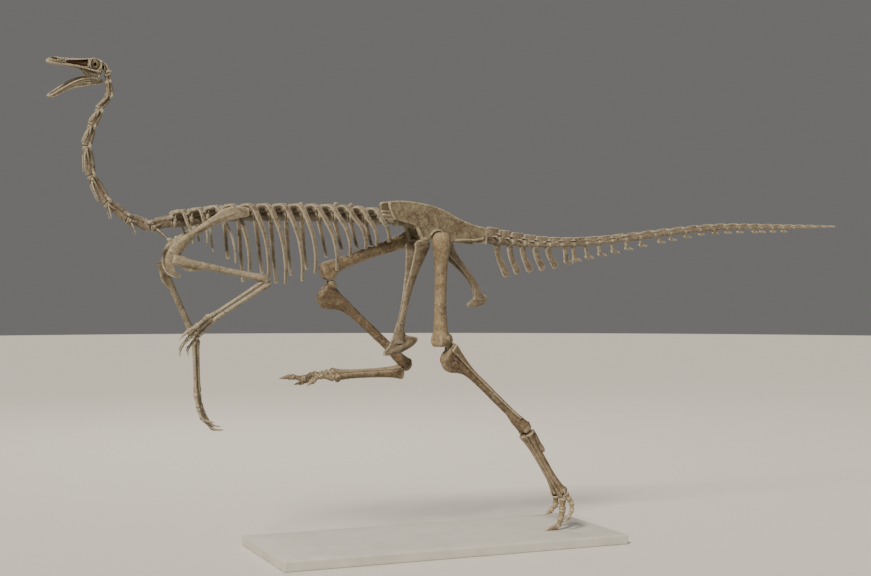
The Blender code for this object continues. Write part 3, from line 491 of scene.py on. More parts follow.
def grey(value):
    return (value, value, value, 1)


def fossil_bone(name, base, patch, patch_amount, highlight_and_wear_amount=0.55, shade_and_earth_strength=0.92):
    """Fossil bone, dug out, cleaned and sealed: hollows are darkened for soil left in them and as painted shade, and
    ridges are lightened for wear and as a painted highlight.

    Broad patches are about 80 mm across, blotches 30 mm, mottling 12 mm, pores 2 mm.
    """
    made, tree, shader = new_surface(name)
    if tree is None:
        return made
    tones = colours()
    where = add(tree, "ShaderNodeTexCoord").outputs["Object"]
    hollow = add(tree, "ShaderNodeAttribute", {"attribute_name": "hollow"}).outputs["Fac"]
    broad = add(tree, "ShaderNodeTexNoise", {"Scale": 9.0, "Detail": 4.0, "Roughness": 0.6, "Distortion": 0.6},
                {"Vector": where}).outputs["Fac"]
    blotch = add(tree, "ShaderNodeTexNoise", {"Scale": 27.0, "Detail": 5.0, "Roughness": 0.62, "Distortion": 0.9},
                 {"Vector": where}).outputs["Fac"]
    middle = add(tree, "ShaderNodeTexNoise", {"Scale": 62.0, "Detail": 6.0, "Roughness": 0.70},
                 {"Vector": where}).outputs["Fac"]
    fine = add(tree, "ShaderNodeTexNoise", {"Scale": 230.0, "Detail": 4.0, "Roughness": 0.72},
               {"Vector": where}).outputs["Fac"]
    pores = add(tree, "ShaderNodeTexVoronoi", {"Scale": 330.0, "Randomness": 1.0}, {"Vector": where}).outputs["Distance"]
    bent = add(tree, "ShaderNodeVectorMath", {"operation": "MULTIPLY_ADD", 1: (0.05, 0.05, 0.05)},
               {0: middle, 2: where}).outputs[0]
    edges = add(tree, "ShaderNodeTexVoronoi", {"feature": "DISTANCE_TO_EDGE", "Scale": 15.0, "Randomness": 1.0},
                {"Vector": bent}).outputs["Distance"]
    lines = ramp(tree, edges, ((0.006, grey(1)), (0.026, grey(0)))).outputs["Color"]
    where_split = ramp(tree, broad, ((0.46, grey(0)), (0.56, grey(0.8)))).outputs["Color"]
    cracks = add(tree, "ShaderNodeMath", {"operation": "MULTIPLY"}, {0: lines, 1: where_split}).outputs[0]

    patchy = ramp(tree, broad, ((0.42, grey(0)), (0.66, grey(patch_amount)))).outputs["Color"]
    skin = blended(tree, patchy, base, patch)
    dusty = ramp(tree, blotch, ((0.50, grey(0)), (0.70, grey(0.20)))).outputs["Color"]
    skin = blended(tree, dusty, skin, tuple(tones.ridge))
    mossy = ramp(tree, blotch, ((0.30, grey(0.42)), (0.47, grey(0)))).outputs["Color"]
    skin = blended(tree, mossy, skin, tuple(tones.stain))
    mottle = ramp(tree, middle, ((0.32, grey(0.55)), (0.50, grey(1.0)), (0.70, grey(1.35)))).outputs["Color"]
    skin = blended(tree, 0.85, skin, mottle, "MULTIPLY")
    speck = ramp(tree, fine, ((0.34, grey(0.40)), (0.48, grey(1.0)), (0.72, grey(1.35)))).outputs["Color"]
    skin = blended(tree, 0.75, skin, speck, "MULTIPLY")
    # Ridges take the worn ridge colour: wear, and a painted highlight.
    highlight_and_wear_mask = ramp(tree, hollow, ((0.18, grey(highlight_and_wear_amount)), (0.46, grey(0)))).outputs["Color"]
    skin = blended(tree, highlight_and_wear_mask, skin, tuple(tones.ridge))
    # Hollows take the brown of soil: soil left in them, and painted shade.
    broken = add(tree, "ShaderNodeMath", {"operation": "MULTIPLY_ADD", 1: 0.30, 2: -0.15}, {0: middle}).outputs[0]
    shade_and_earth_depth = add(tree, "ShaderNodeMath", {"operation": "ADD"}, {0: hollow, 1: broken}).outputs[0]
    shade_and_earth_mask = ramp(tree, shade_and_earth_depth, ((0.53, grey(0)), (0.74, grey(shade_and_earth_strength)))).outputs["Color"]
    skin = blended(tree, shade_and_earth_mask, skin, tuple(tones.earth_and_hollow_shade))
    skin = blended(tree, cracks, skin, tuple(tones.earth_and_hollow_shade))
    tree.links.new(skin, shader.inputs["Base Color"])

    gloss = ramp(tree, middle, ((0.30, grey(0.70)), (0.75, grey(0.46)))).outputs["Color"]
    tree.links.new(gloss, shader.inputs["Roughness"])
    shader.inputs["IOR"].default_value = 1.5
    shader.inputs["Specular IOR Level"].default_value = 0.42

    pits = ramp(tree, pores, ((0.08, grey(0)), (0.34, grey(1)))).outputs["Color"]
    pitted = add(tree, "ShaderNodeBump", {"Strength": 0.28, "Distance": 0.0008}, {"Height": pits})
    rough = add(tree, "ShaderNodeBump", {"Strength": 0.60, "Distance": 0.0024},
                {"Height": fine, "Normal": pitted.outputs["Normal"]})
    uneven = add(tree, "ShaderNodeBump", {"Strength": 0.75, "Distance": 0.007},
                 {"Height": middle, "Normal": rough.outputs["Normal"]})
    split_open = add(tree, "ShaderNodeBump", {"Strength": 0.6, "Distance": 0.0015, "invert": True},
                     {"Height": cracks, "Normal": uneven.outputs["Normal"]})
    tree.links.new(split_open.outputs["Normal"], shader.inputs["Normal"])
    return made


def pale_bone():
    return fossil_bone("pale_fossil_bone", tuple(colours().pale), tuple(colours().tan), 0.75)


def tan_bone():
    return fossil_bone("tan_fossil_bone", tuple(colours().tan), tuple(colours().stain), 0.45)


def ochre_bone():
    return fossil_bone("ochre_fossil_bone", tuple(colours().ochre), tuple(colours().stain), 0.60)


def shin_bone():
    return fossil_bone("brown_fossil_bone", tuple(colours().shin), tuple(colours().stain), 0.60)


def mottled_bone():
    return fossil_bone("mottled_fossil_bone", tuple(colours().mottled), tuple(colours().stain), 0.75)


def stone_filling():
    """Hard brown mudstone left inside the skull: dull, rough, nearly black in the shade."""
    made, tree, shader = new_surface("mudstone_filling")
    if tree is None:
        return made
    where = add(tree, "ShaderNodeTexCoord").outputs["Object"]
    lumps = add(tree, "ShaderNodeTexNoise", {"Scale": 160.0, "Detail": 6.0, "Roughness": 0.7},
                {"Vector": where}).outputs["Fac"]
    tone = tuple(colours().filling)
    pale = tuple(min(1, 1.9 * c) for c in tone[:3]) + (1,)
    tree.links.new(ramp(tree, lumps, ((0.35, tone), (0.7, pale))).outputs["Color"], shader.inputs["Base Color"])
    shader.inputs["Roughness"].default_value = 0.9
    bump = add(tree, "ShaderNodeBump", {"Strength": 0.7, "Distance": 0.002}, {"Height": lumps})
    tree.links.new(bump.outputs["Normal"], shader.inputs["Normal"])
    return made


def base_paint():
    """Satin emulsion rolled on board: a faint orange-peel of 3 mm and soft scuffs of 100 mm."""
    made, tree, shader = new_surface("rolled_satin_paint")
    if tree is None:
        return made
    where = add(tree, "ShaderNodeTexCoord").outputs["Object"]
    peel = add(tree, "ShaderNodeTexNoise", {"Scale": 320.0, "Detail": 2.0}, {"Vector": where}).outputs["Fac"]
    scuffs = add(tree, "ShaderNodeTexNoise", {"Scale": 7.0, "Detail": 7.0, "Roughness": 0.62}, {"Vector": where}).outputs["Fac"]
    tone = tuple(colours().paint)
    worn = tuple(0.86 * c for c in tone[:3]) + (1,)
    tree.links.new(ramp(tree, scuffs, ((0.35, worn), (0.62, tone))).outputs["Color"], shader.inputs["Base Color"])
    tree.links.new(ramp(tree, scuffs, ((0.3, grey(0.62)), (0.7, grey(0.42)))).outputs["Color"],
                   shader.inputs["Roughness"])
    bump = add(tree, "ShaderNodeBump", {"Strength": 0.15, "Distance": 0.0006}, {"Height": peel})
    tree.links.new(bump.outputs["Normal"], shader.inputs["Normal"])
    return made


# ---------------------------------------------------------------- backbone

def zygapophyses(front, rear, out, height, radii):
    """The four joint arms of a vertebra: flat prongs, the front pair reaching on over the joint."""
    reach, wide, tall = radii
    arms = []
    for x, way in ((front, -1), (rear, 1)):
        for side in (LEFT, RIGHT):
            arms.append(blade(
                ((x - way * 0.030, side * 0.55 * out, height - 0.5 * tall), (x - way * 0.010, side * 0.90 * out, height),
                 (x, side * out, height), (x + way * 0.85 * reach, side * out, height + 0.1 * tall)),
                ((0.9 * wide, 1.1 * tall), (0.9 * wide, 0.9 * tall), (0.8 * wide, 0.8 * tall), (0.45 * wide, 0.4 * tall)),
                Vector((0, 1, 0)), 10, 3))
    return arms


def dorsal_pattern():
    """Back vertebra, 98 mm long: spool, side processes and a broad low spine."""
    clays = [
        shaft(((0.002, 0, -0.009, 0.026, 0.028), (0.012, 0, -0.009, 0.030, 0.031), (0.030, 0, -0.008, 0.025, 0.027),
               (0.048, 0, -0.008, 0.023, 0.025), (0.066, 0, -0.008, 0.025, 0.027), (0.086, 0, -0.009, 0.030, 0.031),
               (0.096, 0, -0.009, 0.026, 0.028)), LENGTHWISE, 18, 2),
        shaft(((0.002, 0, 0.024, 0.021, 0.020), (0.048, 0, 0.026, 0.024, 0.022), (0.096, 0, 0.024, 0.021, 0.020)),
              LENGTHWISE, 12, 2),
        shaft(((0.024, 0, 0.050, 0.018, 0.044), (0.038, 0, 0.051, 0.0120, 0.043), (0.052, 0, 0.053, 0.0075, 0.040),
               (0.060, 0, 0.056, 0.0080, 0.038), (0.065, 0, 0.057, 0.0065, 0.034)), UPRIGHT, 12, 2),
    ]
    for side in (LEFT, RIGHT):
        clays.append(shaft(((0.004, 0.034, 0.036, 0.032, 0.016), (0.030, 0.030, 0.044, 0.024, 0.011),
                            (0.060, 0.024, 0.049, 0.0175, 0.008), (0.080, 0.021, 0.051, 0.016, 0.009),
                            (0.087, 0.021, 0.051, 0.011, 0.006)), SIDEWAYS[side], 12, 2))
    clays += zygapophyses(-0.002, 0.097, 0.020, 0.034, (0.014, 0.0080, 0.0085))
    return fuse("dorsal", clays, 0.0032, 2)


def sacral_pattern():
    """Hip vertebra, 118 mm long, with stout ribs that reach the hip blades."""
    clays = [
        shaft(((0.000, 0, -0.010, 0.026, 0.024), (0.020, 0, -0.008, 0.024, 0.024), (0.060, 0, -0.006, 0.019, 0.020),
               (0.100, 0, -0.008, 0.024, 0.024), (0.118, 0, -0.010, 0.026, 0.024)), LENGTHWISE, 16, 2),
        shaft(((0.000, 0, 0.018, 0.012, 0.014), (0.060, 0, 0.020, 0.014, 0.016), (0.118, 0, 0.018, 0.012, 0.014)),
              LENGTHWISE, 12, 2),
        shaft(((0.018, 0, 0.060, 0.010, 0.050), (0.036, 0, 0.062, 0.0055, 0.046), (0.050, 0, 0.062, 0.0060, 0.046),
               (0.054, 0, 0.062, 0.0050, 0.042)), UPRIGHT, 12, 2),
    ]
    for side in (LEFT, RIGHT):
        clays.append(shaft(((0.006, 0.020, 0.004, 0.022, 0.020), (0.030, 0.020, 0.008, 0.013, 0.014),
                            (0.050, 0.020, 0.012, 0.018, 0.020), (0.056, 0.020, 0.012, 0.014, 0.018)),
                           SIDEWAYS[side], 12, 2))
    return fuse("sacral", clays, 0.0036, 2)


def cervical_pattern():
    """Neck vertebra, 128 mm long: a long waisted spool under a low arch with long joint arms."""
    clays = [
        shaft(((0.000, 0, -0.008, 0.020, 0.019), (0.012, 0, -0.008, 0.025, 0.023), (0.040, 0, -0.006, 0.020, 0.020),
               (0.070, 0, -0.006, 0.018, 0.019), (0.100, 0, -0.007, 0.020, 0.021), (0.120, 0, -0.008, 0.023, 0.023),
               (0.127, 0, -0.008, 0.019, 0.019)), LENGTHWISE, 18, 2),
        shaft(((0.000, 0, 0.008, 0.024, 0.011), (0.030, 0, 0.010, 0.019, 0.013), (0.064, 0, 0.011, 0.016, 0.014),
               (0.096, 0, 0.012, 0.018, 0.013), (0.127, 0, 0.013, 0.021, 0.011)), LENGTHWISE, 14, 2),
        shaft(((0.012, 0, 0.064, 0.010, 0.052), (0.021, 0, 0.068, 0.0060, 0.044), (0.026, 0, 0.072, 0.0045, 0.030)),
              UPRIGHT, 12, 2),
    ]
    clays += zygapophyses(-0.002, 0.128, 0.023, 0.012, (0.012, 0.0075, 0.0095))
    for side in (LEFT, RIGHT):
        clays.append(blade(((0.060, side * 0.014, -0.006), (0.030, side * 0.025, -0.008), (0.012, side * 0.028, -0.012)),
                           ((0.005, 0.005), (0.006, 0.006), (0.009, 0.008)), Vector((0, 0, 1)), 8, 3))
    return fuse("cervical", clays, 0.0026, 2)


def caudal_pattern(rear):
    """Tail vertebra, 96 mm long: tall with a long low spine near the hips, low and plain behind."""
    if rear:
        clays = [
            shaft(((-0.001, 0, -0.004, 0.013, 0.015), (0.009, 0, -0.004, 0.016, 0.0175), (0.045, 0, -0.003, 0.0135, 0.016),
                   (0.086, 0, -0.004, 0.0155, 0.017), (0.097, 0, -0.004, 0.013, 0.0145)), LENGTHWISE, 16, 2),
            shaft(((0.008, 0, 0.050, 0.011, 0.046), (0.016, 0, 0.051, 0.008, 0.045), (0.021, 0, 0.054, 0.005, 0.040),
                   (0.024, 0, 0.060, 0.004, 0.028)), UPRIGHT, 10, 2),
        ]
        for side in (LEFT, RIGHT):
            clays.append(blade(((0.034, side * 0.006, 0.010), (0.002, side * 0.010, 0.012), (-0.020, side * 0.010, 0.014),
                                (-0.028, side * 0.009, 0.014)),
                               ((0.005, 0.007), (0.005, 0.007), (0.004, 0.0055), (0.003, 0.004)),
                               Vector((0, 1, 0)), 10, 3))
        return fuse("caudal_rear", clays, 0.0027, 2)
    clays = [
        shaft(((-0.001, 0, -0.012, 0.023, 0.027), (0.009, 0, -0.012, 0.027, 0.030), (0.045, 0, -0.011, 0.023, 0.027),
               (0.086, 0, -0.012, 0.026, 0.029), (0.097, 0, -0.012, 0.022, 0.026)), LENGTHWISE, 18, 2),
        shaft(((0.004, 0, 0.048, 0.024, 0.049), (0.026, 0, 0.048, 0.019, 0.049), (0.042, 0, 0.048, 0.0125, 0.049),
               (0.053, 0, 0.050, 0.0085, 0.048), (0.059, 0, 0.051, 0.0080, 0.046), (0.064, 0, 0.054, 0.0060, 0.039)),
              UPRIGHT, 12, 2),
    ]
    clays += zygapophyses(-0.002, 0.094, 0.015, 0.027, (0.012, 0.0065, 0.0080))
    return fuse("caudal_front", clays, 0.0031, 2)


def tail_process(side):
    """Side process of a front tail vertebra, a flat blade swept slightly back."""
    return fuse("tail_process", [shaft(((0.010, 0.046, 0.006, 0.016, 0.007), (0.040, 0.050, 0.006, 0.011, 0.0045),
                                        (0.084, 0.056, 0.008, 0.013, 0.0045), (0.090, 0.057, 0.008, 0.008, 0.003)),
                                       SIDEWAYS[side], 12, 3)], 0.0024, 1)


def neck_joints(course):
    marks = [course.mark(place) for place in NECK_LINE]
    return [0.004, marks[1] * 0.36] + marks[1:]


def neck_height(share):
    """Height of a neck vertebra, from the head (0) to the shoulders (1)."""
    return mix(0.046, 0.088, share)


def neck_rib(course, start, span, height, index, side):
    """Thin rib of a neck vertebra, pointing back and, near the shoulders, also down."""
    reach = 0.68 * span if index < 7 else 0.052
    fall = 0.50 if index < 7 else 0.72 + 0.12 * (index - 7)
    points = []
    for share, out, low in ((0.0, 0.26, 0.14), (0.30, 0.40, 0.32), (1.0, 0.38, fall)):
        place = course.stand(start + 0.16 * span + share * reach)
        points.append(place @ Vector((0, side * out * height, -low * height)))
    thick = mix(0.7, 1.0, index / 9)
    halves = [(0.0045 * thick, 0.0065 * thick), (0.0035 * thick, 0.0050 * thick), (0.0016, 0.0022)]
    return blade(points, halves, Vector((0, 1, 0)), 8, 4)


def model_neck():
    course = backbone()
    joints = neck_joints(course)
    pattern = cervical_pattern()
    for name, first, last in (("neck_upper", 0, 4), ("neck_middle", 4, 7), ("neck_lower", 7, 10)):
        bones = []
        for index in range(first, last):
            start = joints[index]
            span = joints[index + 1] - start
            height = neck_height(index / (sizes().cervicals - 1))
            stretch = Matrix.Diagonal((span / 0.128, height / 0.069, height / 0.067, 1))
            bones.append(copied(pattern, course.stand(start, span / 2) @ stretch))
            if index >= 2:
                ribs = [neck_rib(course, start, span, height, index, side) for side in (LEFT, RIGHT)]
                bones += [fuse("neck_rib", [rib], 0.0016, 1) for rib in ribs]
        if first == 0:
            atlas = course.point(0.0) + Vector((-0.002, 0.002, 0.008))
            bones.append(fuse("atlas", [lump(atlas, (0.011, 0.017, 0.015)),
                                        lump(atlas + Vector((0.010, -0.014, 0.004)), (0.017, 0.006, 0.009)),
                                        lump(atlas + Vector((0.010, 0.014, 0.004)), (0.014, 0.007, 0.012))],
                              0.0018, 2))
        piece = join(bones, name + "_bones")
        finish(piece, tan_bone(), "bone_tan", name)
    discard(pattern)


def chest_rib(course, index, side):
    """One rib: head and knob at its vertebra, then a bowed flat shaft down to the tip."""
    shoulders = course.mark(BACK_LINE[0])
    root = course.point(shoulders + (index + 0.5) * sizes().back / sizes().dorsals)
    lean, drop = RIB_REACHES[side][index]
    width = 0.115 + (sizes().chest - 0.115) * sin(pi * (index + 1.5) / 14.5)
    if index < 4:
        width = 0.080 + 0.018 * index
    process = 0.084 * (0.80 if index < 3 else 1.0)

    def spot(back, out, low):
        return root + Vector((back, side * out, -low))

    points = (
        spot(-0.034, 0.022, -0.004), spot(-0.034, 0.6 * process, -0.034), spot(-0.028, process, -0.053),
        spot(0.02 * lean, mix(process, width, 0.60), -0.044), spot(0.34 * lean, mix(process, width, 0.94), 0.10 * drop),
        spot(0.68 * lean, width, 0.38 * drop), spot(0.90 * lean, 0.91 * width, 0.72 * drop),
        spot(lean, 0.70 * width, drop),
    )
    halves = ((0.010, 0.0080), (0.0090, 0.0060), (0.0140, 0.0080), (0.0165, 0.0070), (0.0160, 0.0062),
              (0.0140, 0.0058), (0.0120, 0.0056), (0.0115, 0.0054))
    thin = 0.62 if index < 3 else 1.0
    halves = [(thin * wide, thin * deep) for wide, deep in halves]
    clays = [blade(points, halves, Vector((1, 0, 0.25)), 14, 5)]
    clays.append(lump(spot(-0.028, process, -0.054), (0.013, 0.010, 0.008)))
    clays.append(lump(spot(-0.034, 0.024, -0.004), (0.012, 0.009, 0.011)))
    return clays


# Tall ends left on some of the back's spines: place along the body and height.
SPINE_KNOBS = ((-1.201, 1.980), (-1.111, 1.977), (-0.862, 2.004), (-0.806, 1.990), (-0.644, 2.010), (-0.549, 2.006),
               (-0.403, 1.976))


def model_trunk():
    course = backbone()
    shoulders = course.mark(BACK_LINE[0])
    span = sizes().back / sizes().dorsals
    pattern = dorsal_pattern()
    bones = []
    for index in range(sizes().dorsals):
        place = course.stand(shoulders + index * span, span / 2)
        bones.append(copied(pattern, place @ Matrix.Diagonal((span / 0.098, 1, 1, 1))))
    for x, height in SPINE_KNOBS:
        knob = lump(at(x, 0, height), (0.017, 0.0075, 0.019), turn=0.0)
        bones.append(fuse("spine_knob", [knob], 0.0022, 1, 0.0020, 0.015))
    discard(pattern)
    finish(join(bones, "back_vertebrae"), tan_bone(), "bone_tan", "rib_cage_left", "rib_cage_right")
    for side, word in SIDES:
        clays = []
        for index in range(sizes().dorsals):
            clays += chest_rib(course, index, side)
        piece = fuse("ribs_" + word, clays, 0.0032, 2, 0.0012, 0.03)
        finish(piece, tan_bone(), "bone_tan", "rib_cage_" + word)
    front_end = shoulders + sizes().back
    span = (course.mark(BACK_LINE[-1]) - front_end) / sizes().sacrals
    pattern = sacral_pattern()
    bones = []
    for index in range(sizes().sacrals):
        place = course.stand(front_end + index * span, span / 2)
        bones.append(copied(pattern, place @ Matrix.Diagonal((span / 0.118, 1, 1, 1))))
    discard(pattern)
    finish(join(bones, "hip_vertebrae"), tan_bone(), "bone_tan", "sacrum")


# ---------------------------------------------------------------- tail

def tail_height(share):
    """Height of a tail vertebra, from the hips (0) to the tip (1)."""
    return 0.068 * exp(-5.5 * share) + 0.036 * (1 - share ** 4) + 0.008


def tail_joints(course):
    """Distances along the backbone of the ends of the tail's vertebrae: longest near the middle."""
    spans = [0.089 + 0.030 * exp(-((index - 13.5) / 4) ** 2) for index in range(sizes().caudals)]
    joints = [course.mark(TAIL_LINE[0])]
    scale = (course.length - 0.003 - joints[0]) / sum(spans)
    for span in spans:
        joints.append(joints[-1] + span * scale)
    return joints


def chevron(course, distance, height, index):
    """Clays of the bone under a joint of the tail: a blade near the hips, a stem on a low skid farther back."""
    place = course.stand(distance)
    root, up = place.translation, place.col[2].to_3d()
    back, across = Vector((1, 0, 0)), Vector((0, 1, 0))

    def hang(rows):
        return blade([root - up * low - back * ahead for ahead, low, *_ in rows], [row[2:] for row in rows],
                     across, 12, 4)

    if index < 5:
        drop = 0.235 * exp(-0.107 * index)
        slant = 0.075 * exp(-0.12 * index) + 0.016
        return [hang(((0.004, 0.30 * height, 0.015, 0.020), (-0.04 * slant, 0.44 * height + 0.10 * drop, 0.010, 0.022),
                      (-0.26 * slant, 0.60 * height + 0.30 * drop, 0.0075, 0.021),
                      (-0.66 * slant, 0.82 * drop, 0.0065, 0.024), (-0.80 * slant, 0.93 * drop, 0.0060, 0.025),
                      (-0.88 * slant, 0.985 * drop, 0.0050, 0.019), (-0.92 * slant, 1.01 * drop, 0.0030, 0.009)))]
    step = index - 5
    drop = max(0.128 * exp(-0.105 * step), 0.50 * height + 0.022)
    skid = 0.058 * exp(-0.022 * step)
    deep = 0.0092 + 0.0062 * exp(-0.30 * step)
    stem = 0.0105 + 0.0070 * exp(-0.30 * step)
    ankle = drop - 0.8 * deep
    return [hang(((0.002, 0.28 * height, 0.011, stem + 0.004), (0.000, 0.46 * height, 0.0085, stem),
                  (-0.003, 0.5 * (0.46 * height + ankle), 0.0070, 0.92 * stem), (-0.008, ankle, 0.0070, 1.15 * stem))),
            hang(((0.013, ankle + 0.1 * deep, 0.0035, 0.45 * deep), (0.004, ankle, 0.0065, 0.92 * deep),
                  (-0.35 * skid, ankle + 0.15 * deep, 0.0070, deep), (-0.70 * skid, ankle + 0.35 * deep, 0.0052, 0.72 * deep),
                  (-skid, ankle + 0.60 * deep, 0.0034, 0.36 * deep)))]


def model_tail():
    course = backbone()
    joints = tail_joints(course)
    patterns = {False: caudal_pattern(False), True: caudal_pattern(True)}
    wings = [tail_process(side) for side in (LEFT, RIGHT)]
    spans = (("tail_base", 0, 6), ("tail_middle", 6, 13), ("tail_rear", 13, 20), ("tail_tip", 20, sizes().caudals))
    for name, first, last in spans:
        bones = []
        for index in range(first, last):
            start = joints[index]
            span = joints[index + 1] - start
            height = tail_height(index / sizes().caudals)
            rear = index >= 11
            tall = height / (0.040 if rear else 0.106)
            wide = (0.24 * height + 0.004) / (0.0146 if rear else 0.026)
            place = course.stand(start, span / 2)
            bones.append(copied(patterns[rear], place @ Matrix.Diagonal((span / 0.096, wide, tall, 1))))
            if index < 6:
                spread = (1.9 - 0.20 * index) * (0.24 * height + 0.004) / 0.086
                for wing in wings:
                    bones.append(copied(wing, place @ Matrix.Diagonal((span / 0.096, spread, 1, 1))))
            if 0 < index <= sizes().chevrons:
                hung = chevron(course, start + (0.030 if index == first else 0.0), height, index - 1)
                bones.append(fuse("chevron", hung, 0.0025, 2))
        finish(join(bones, name + "_bones"), tan_bone(), "bone_tan", name)
    discard(*patterns.values(), *wings)


# ---------------------------------------------------------------- head

SKULL_YAW = -15             # degrees the beak is turned toward the animal's left
SKULL_ROLL = 4              # degrees the head is tipped over toward its left
JAW_ROLL = 13               # and the lower jaw, which hangs loose to that side
BEAK_TIP = (-2.331, -0.070, 2.7545)
ORBIT = (0.271, 0.004)
ORBIT_RADIUS = 0.0315
SKULL_STATIONS = (
    (0.001, 0.006, -0.006, 0.005), (0.010, 0.015, -0.011, 0.014), (0.028, 0.022, -0.013, 0.021),
    (0.060, 0.026, -0.015, 0.024), (0.100, 0.026, -0.016, 0.024), (0.145, 0.028, -0.016, 0.025),
    (0.190, 0.034, -0.020, 0.029), (0.232, 0.043, -0.028, 0.034), (0.270, 0.046, -0.038, 0.037),
    (0.306, 0.043, -0.036, 0.034), (0.334, 0.033, -0.032, 0.018), (0.348, 0.018, -0.028, -0.004),
)


def head(tip=SKULL_ROLL):
    """Place of the head: X back from the beak's tip, Y to the right, Z up."""
    turn, roll = radians(SKULL_YAW), radians(tip)
    return axes((cos(turn), -sin(turn), 0), (cos(roll) * sin(turn), cos(roll) * cos(turn), sin(roll)),
                (-sin(roll) * sin(turn), -sin(roll) * cos(turn), cos(roll)), at(*BEAK_TIP))


def boxy_ring(back, half, low, high, count=28):
    """Cross-section of the skull: flat-roofed, with steep sides."""
    ring = []
    for index in range(count):
        turn = TAU * index / count
        wide, tall = cos(turn), sin(turn)
        ring.append(Vector((back, half * abs(wide) ** 0.68 * (1 if wide > 0 else -1),
                            (low + high) / 2 + (high - low) / 2 * abs(tall) ** 0.68 * (1 if tall > 0 else -1))))
    return ring


def skull_half(back, rise):
    """Half width of the skull at a place along it and a height."""
    half, low, high = (np.interp(back, [row[0] for row in SKULL_STATIONS], [row[i] for row in SKULL_STATIONS])
                       for i in (1, 2, 3))
    off = min(abs(rise - (low + high) / 2) / ((high - low) / 2), 0.96)
    return half * (1 - off ** 2.94) ** 0.34


def oval_outline(centre, radii, count=24):
    return [(centre[0] + radii[0] * cos(TAU * i / count), centre[1] + radii[1] * sin(TAU * i / count))
            for i in range(count)]


def rim(outline, side, thick):
    """Raised edge round an opening, lying on the side of the skull."""
    closed = list(outline) + list(outline[:2])
    points = [(back, side * (skull_half(back, rise) - 0.001), rise) for back, rise in closed]
    return blade(points, [(thick, thick)] * len(points), Vector((0, 1, 0)), 8, 2)


def prism(outline, low, high, place=Matrix.Identity(4)):
    """A straight cutter whose outline lies in X and Z, between two values of Y."""
    cutter = skinned([[Vector((u, y, v)) for u, v in outline] for y in (low, high)])
    cutter.data.transform(place)
    return cutter


def carve(body, cutters):
    """Cut openings through a bone."""
    for cutter in cutters:
        choose(cutter)
        bpy.ops.object.mode_set(mode="EDIT")
        bpy.ops.mesh.select_all(action="SELECT")
        bpy.ops.mesh.normals_make_consistent(inside=False)
        bpy.ops.object.mode_set(mode="OBJECT")
        apply(body, "BOOLEAN", operation="DIFFERENCE", object=cutter, solver="EXACT")
        discard(cutter)
    return body


ANTORBITAL_WINDOW = ((0.102, -0.003), (0.105, 0.010), (0.130, 0.015), (0.170, 0.019), (0.205, 0.024),
                     (0.229, 0.028), (0.231, 0.010), (0.229, -0.013), (0.205, -0.013), (0.170, -0.009),
                     (0.135, -0.007))
CHEEK_WINDOW = ((0.308, 0.010), (0.318, 0.006), (0.324, -0.006), (0.322, -0.020), (0.312, -0.026), (0.307, -0.010))


def skull_clays():
    clays = [skinned([boxy_ring(*row) for row in eased(SKULL_STATIONS, 4)])]
    clays.append(blade(((0.012, 0, 0.013), (0.060, 0, 0.023), (0.150, 0, 0.024), (0.240, 0, 0.033)),
                       ((0.006, 0.003), (0.007, 0.003), (0.008, 0.003), (0.010, 0.003)), Vector((0, 1, 0)), 10, 4))
    clays.append(lump((0.345, 0, -0.014), (0.012, 0.011, 0.010)))
    for side in (LEFT, RIGHT):
        clays.append(rim(oval_outline(ORBIT, (ORBIT_RADIUS + 0.0022, ORBIT_RADIUS + 0.0022)), side, 0.0036))
        clays.append(rim(ANTORBITAL_WINDOW, side, 0.0026))
        clays.append(rim(CHEEK_WINDOW, side, 0.0030))
        clays.append(blade(((0.006, side * 0.012, -0.006), (0.040, side * 0.024, -0.010), (0.110, side * 0.027, -0.013),
                            (0.190, side * 0.034, -0.018), (0.250, side * 0.046, -0.031), (0.300, side * 0.046, -0.035)),
                           ((0.003, 0.004), (0.003, 0.005), (0.003, 0.005), (0.0035, 0.005), (0.004, 0.005),
                            (0.005, 0.006)), Vector((0, 1, 0)), 10, 4))
        clays.append(blade(((0.312, side * 0.036, 0.000), (0.303, side * 0.038, -0.034), (0.295, side * 0.039, -0.056),
                            (0.291, side * 0.038, -0.067)),
                           ((0.007, 0.013), (0.006, 0.010), (0.006, 0.009), (0.010, 0.009)), Vector((0, 1, 0)), 10, 3))
        clays.append(blade(((0.318, side * 0.030, 0.016), (0.338, side * 0.034, 0.002), (0.348, side * 0.034, -0.016)),
                           ((0.006, 0.007), (0.005, 0.007), (0.004, 0.005)), Vector((0, 1, 0)), 8, 3))
        clays.append(blade(((0.205, side * 0.010, -0.020), (0.235, side * 0.013, -0.042), (0.262, side * 0.018, -0.052),
                            (0.292, side * 0.030, -0.056)),
                           ((0.005, 0.008), (0.006, 0.016), (0.006, 0.018), (0.006, 0.014)), Vector((0, 1, 0)), 12, 4))
        clays.append(lump((0.236, side * 0.034, 0.027), (0.014, 0.008, 0.005)))
        clays.append(lump((0.304, side * 0.040, 0.020), (0.012, 0.006, 0.006)))
    return clays


